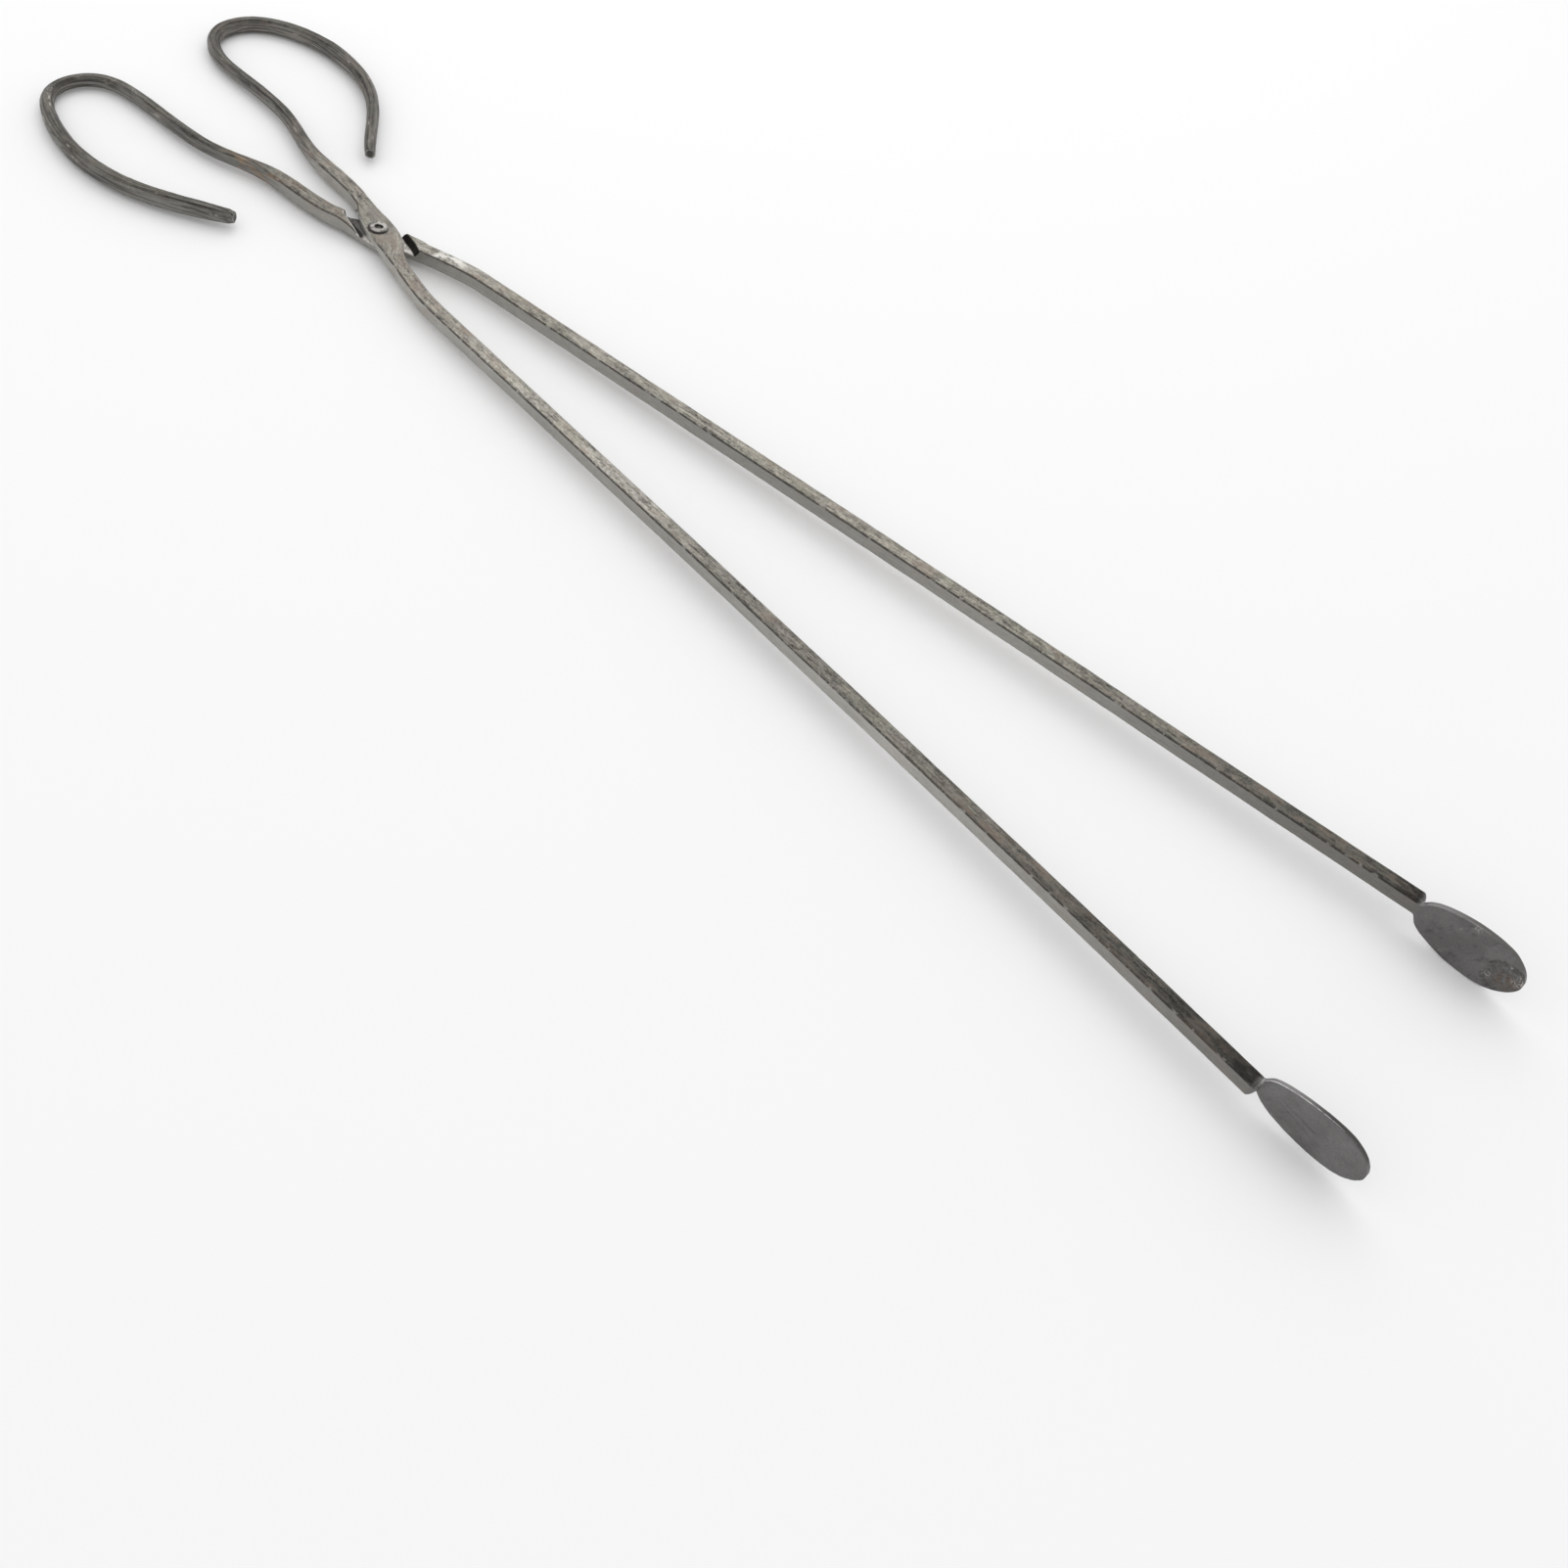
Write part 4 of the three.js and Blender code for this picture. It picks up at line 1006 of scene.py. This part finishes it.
def rivet_material():
    k = Nodes("rivet_steel")
    obj = k.coords()
    wear, hole, under_shadow, split = k.attr("wear"), k.attr("hole"), k.attr("under_shadow"), k.attr("split")
    n = k.noise(obj, 520, 4, 0.62)
    fine = k.noise(obj, 1600, 3, 0.6)
    col = k.mix(k.ramp(n, 0.36, 0.64), (*grey(108, 0.04, 0.01), 1), (*grey(146, 0.03, 0.01), 1))
    col = k.mix(k.math("MULTIPLY", wear, k.ramp(n, 0.42, 0.60, 0.12, 0.85)), col, (*grey(182, 0.02, 0.005), 1))
    col = k.mix(k.math("MULTIPLY", k.ramp(fine, 0.60, 0.68), 0.45), col, (*grey(66, 0.06), 1))
    # the mouth's shade, the painted shadow under the lip and the dark splits all go near black
    dark = k.math("MAXIMUM", k.math("MAXIMUM", hole, k.math("MULTIPLY", under_shadow, 0.85)), k.math("MULTIPLY", split, 0.9), clamp=True)
    col = k.mix(dark, col, (*grey(20, 0.08), 1))
    k.put(k.bsdf.inputs["Base Color"], col)
    k.put(k.bsdf.inputs["Roughness"], k.ramp(n, 0.3, 0.7, 0.34, 0.50))
    k.put(k.bsdf.inputs["Metallic"], k.math("SUBTRACT", 0.7, k.math("MULTIPLY", dark, 0.7)))
    k.put(k.bsdf.inputs["Specular IOR Level"], k.math("SUBTRACT", 0.5, k.math("MULTIPLY", dark, 0.4)))
    k.put(k.bsdf.inputs["Normal"], k.bump(k.math("ADD", n, k.math("MULTIPLY", fine, 0.4)), 0.5, 0.00025))
    return k.mat


# ------------------------------------------------------------------ build
arms = {}
for node, args in (("lower_arm", (LOWER_LINE, LOWER_BAR, LOWER_BLADE, LOWER_EYE, -1, LOWER_TOE)),
                   ("upper_arm", (UPPER_LINE, UPPER_BAR, UPPER_BLADE, UPPER_EYE, 1, UPPER_TOE))):
    g = build_arm(node + "_forging", *args)
    ob = finish_arm(g)
    drill(ob)
    arms[node] = (ob, g)

for node, (ob, g) in arms.items():
    me = ob.data
    p = (coords_of(me) - PIVOT) * 1000
    no = normals_of(me)
    # where the eye has been rubbed clean its corners get no painted dark reflection
    near = node == "upper_arm"
    rub = (smooth(-24, -20, p[:, 0]) * smooth(9, 4, p[:, 0]) * smooth(-1, -4, p[:, 1])) if near else \
        (smooth(4, 9, p[:, 0]) * smooth(21, 15, p[:, 0]) * smooth(6, 9, p[:, 1]) * 0.6)
    set_value(me, "rubbed", rub)
    clean = smooth(32.5, 36, p[:, 0]) * smooth(55, 47, p[:, 0]) * smooth(2.4, 3.6, p[:, 2])
    set_value(me, "clean", clean * (0 if near else 1))
    set_value(me, "eye", smooth(24, 14, np.abs(p[:, 0])))
    bl = value_of(me, "blade")
    # mask of the blade rims that face up or down, painted in their own grey by the material (partly painted shade)
    set_value(me, "bladerim", bl * smooth(0.35, 0.8, np.abs(no[:, 2])))
    # the wall of the drilled hole belongs to neither face; it gets a middling painted shade
    hole = np.hypot(p[:, 0], p[:, 1]) < BORE_R + 0.05
    shade_and_scale = value_of(me, "shade_and_scale")
    shade_and_scale[hole] = 0.6
    if near:
        # painted shadow, with some dirt, in the corner under the rivet's rolled lip on the front side
        low = smooth(-0.6, 0.5, np.cos(np.arctan2(p[:, 1], p[:, 0]) + 1.3))
        shade_and_scale = np.maximum(shade_and_scale, 0.8 * low * smooth(6.0, 5.35, np.hypot(p[:, 0], p[:, 1])) * (p[:, 2] > 3.5))
    set_value(me, "shade_and_scale", shade_and_scale)
    print(node, "faces", len(me.polygons))

LENGTH = 1.10      # metres the tone tables span
# Level of grey by distance along each arm, mm: top faces, then sides. The tops are darker than the sides, partly their
# own scale and partly painted shade to offset the stronger light they get from above.
TONE = {
    "upper_arm": (
        [(0, 75), (300, 75), (330, 115), (440, 115), (560, 125), (680, 105), (800, 100), (920, 75), (980, 55),
         (1030, 55), (1100, 55)],
        [(0, 110), (300, 110), (330, 170), (440, 165), (560, 150), (680, 150), (800, 170), (920, 145),
         (980, 125), (1030, 110), (1100, 110)]),
    "lower_arm": (
        [(0, 80), (300, 80), (330, 100), (440, 120), (560, 120), (680, 120), (800, 125), (920, 90), (980, 75),
         (1030, 75), (1100, 75)],
        [(0, 105), (300, 105), (330, 145), (440, 150), (560, 145), (680, 140), (800, 150), (920, 125),
         (980, 115), (1030, 105), (1100, 105)]),
}
BLADE_TONE = {"upper_arm": 107.0, "lower_arm": 103.0}
# How much bright rubbed metal shows, 0 to 1, and how much brown, by distance along each arm.
WORN = {
    "upper_arm": [(0, 0.0), (440, 0.1), (480, 0.4), (500, 0.8), (535, 0.8), (560, 0.3), (585, 1.0), (635, 1.0), (660, 0.2), (1000, 0.0)],
    "lower_arm": [(0, 0.0), (408, 0.0), (416, 1.0), (440, 1.0), (450, 0.3), (462, 0.6), (475, 0.2), (1000, 0.0)],
}
RUST = {
    "upper_arm": [(0, 0.1), (60, 0.45), (130, 0.5), (230, 0.2), (285, 0.5), (300, 0.85), (325, 0.85), (345, 0.25),
                  (390, 0.15), (412, 0.75), (470, 0.45), (500, 0.15), (700, 0.1), (900, 0.3), (1010, 0.5), (1060, 0.0)],
    "lower_arm": [(0, 0.0), (60, 0.08), (200, 0.05), (284, 0.1), (295, 0.95), (312, 0.85), (324, 0.25), (350, 0.1),
                  (400, 0.05), (1000, 0.05), (1060, 0.0)],
}


for node, seed in (("upper_arm", 0.37), ("lower_arm", 1.91)):
    ob, g = arms[node]
    tone_top, tone_side = TONE[node]
    mat = arm_material("forged_" + node,
                       [(a / 1000, grey(l, 0.045, 0.018)) for a, l in tone_top],
                       [(a / 1000, grey(l, 0.022, 0.010)) for a, l in tone_side],
                       [(a / 1000, l) for a, l in WORN[node]], [(a / 1000, l) for a, l in RUST[node]],
                       *(((grey(104, 0.16, -0.03), 0.5) if node == "upper_arm" else (grey(116, 0.24, 0.0), 0.78))),
                       BLADE_TONE[node], *((-44, 1.0) if node == "upper_arm" else (-12, 0.30)), seed)
    ob.data.materials.clear()
    ob.data.materials.append(mat)
    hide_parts(node)
    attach(ob, node)

rivet = rivet_object()
rivet.data.materials.append(rivet_material())
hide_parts("pivot_rivet")
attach(rivet, "lower_arm")
print("rivet faces", len(rivet.data.polygons))

# ------------------------------------------------------------------ camera
cam_data = bpy.data.cameras.new("camera")
cam = bpy.data.objects.new("camera", cam_data)
bpy.context.scene.collection.objects.link(cam)
cam_data.lens, cam_data.sensor_width = 38.2557, 36
cam_data.clip_start, cam_data.clip_end = 0.01, 20
right = Vector((0.723557, 0.674806, 0.145266)).normalized()
back = Vector((0.316374, -0.51125, 0.799082)).normalized()
up = back.cross(right)
cam.matrix_world = Matrix.Translation((0.382796, -0.464461, 0.584623)) @ \
    Matrix((right, up, back)).transposed().to_4x4()
bpy.context.scene.camera = cam

# ------------------------------------------------------------------ light and floor
scene = bpy.context.scene
scene.view_settings.view_transform = "Standard"
scene.view_settings.look = "None"
world = bpy.data.worlds.new("studio")
scene.world = world
world.use_nodes = True
wt = world.node_tree
bg = wt.nodes["Background"]
tc = wt.nodes.new("ShaderNodeTexCoord")
sep = wt.nodes.new("ShaderNodeSeparateXYZ")
wt.links.new(tc.outputs["Generated"], sep.inputs[0])
dot = wt.nodes.new("ShaderNodeVectorMath")
dot.operation = "DOT_PRODUCT"
wt.links.new(tc.outputs["Generated"], dot.inputs[0])
dot.inputs[1].default_value = (-0.35, 0.75, 0.56)
mr = wt.nodes.new("ShaderNodeMapRange")
wt.links.new(dot.outputs["Value"], mr.inputs["Value"])
mr.inputs["From Min"].default_value, mr.inputs["From Max"].default_value = -0.9, 1.0
mr.inputs["To Min"].default_value, mr.inputs["To Max"].default_value = 0.72, 1.06
wt.links.new(mr.outputs["Result"], bg.inputs["Strength"])
bg.inputs["Color"].default_value = (1.0, 1.0, 1.0, 1)
clear = wt.nodes.new("ShaderNodeBackground")
clear.inputs["Color"].default_value = (1, 1, 1, 1)
clear.inputs["Strength"].default_value = 0.96
lp = wt.nodes.new("ShaderNodeLightPath")
mixs = wt.nodes.new("ShaderNodeMixShader")
wt.links.new(lp.outputs["Is Camera Ray"], mixs.inputs[0])
wt.links.new(bg.outputs[0], mixs.inputs[1])
wt.links.new(clear.outputs[0], mixs.inputs[2])
wt.links.new(mixs.outputs[0], wt.nodes["World Output"].inputs["Surface"])


def softbox(name, at, target, size, power):
    li = bpy.data.lights.new(name, "AREA")
    li.shape, li.size, li.size_y, li.energy = "RECTANGLE", size[0], size[1], power
    ob = bpy.data.objects.new(name, li)
    scene.collection.objects.link(ob)
    ob.location = at
    ob.rotation_euler = (Vector(at) - Vector(target)).to_track_quat("Z", "Y").to_euler()
    return ob


softbox("window", (-0.80, 0.80, 1.05), (-0.05, 0.0, 0.015), (1.1, 1.1), 3.5)

# a paper floor touching the blades at one end and the handles at the other
fm = bpy.data.meshes.new("paper")


def floor_z(x):
    return (0.415 - x) * 0.013007 - 0.0001


ring_r = [0.0, 0.6, 1.2, 2.0, 3.0, 6.0, 40.0]
ang = np.arange(96) / 96 * 2 * np.pi
fv = [(0.0, 0.0, floor_z(0.0))] + [(r * math.cos(q), r * math.sin(q), floor_z(r * math.cos(q))) for r in ring_r[1:] for q in ang]
ff = [(0, 1 + j, 1 + (j + 1) % 96) for j in range(96)]
for k in range(len(ring_r) - 2):
    o, o2 = 1 + 96 * k, 1 + 96 * (k + 1)
    ff += [(o + j, o2 + j, o2 + (j + 1) % 96, o + (j + 1) % 96) for j in range(96)]
fm.from_pydata(fv, [], ff)
floor = bpy.data.objects.new("paper", fm)
scene.collection.objects.link(floor)
kf = Nodes("paper")
kf.bsdf.inputs["Base Color"].default_value = (0.93, 0.93, 0.93, 1)
kf.bsdf.inputs["Roughness"].default_value = 0.95
kf.bsdf.inputs["Specular IOR Level"].default_value = 0.0
dist_ = kf.t.nodes.new("ShaderNodeVectorMath")
dist_.operation = "LENGTH"
kf.put(dist_.inputs[0], kf.coords())
glow = kf.t.nodes.new("ShaderNodeEmission")
glow.inputs["Color"].default_value = (1, 1, 1, 1)
glow.inputs["Strength"].default_value = 0.96
melt = kf.t.nodes.new("ShaderNodeMixShader")
kf.put(melt.inputs[0], kf.ramp(dist_.outputs["Value"], 0.75, 1.9))
kf.t.links.new(kf.bsdf.outputs[0], melt.inputs[1])
kf.t.links.new(glow.outputs[0], melt.inputs[2])
kf.t.links.new(melt.outputs[0], kf.t.nodes["Material Output"].inputs["Surface"])
fm.materials.append(kf.mat)
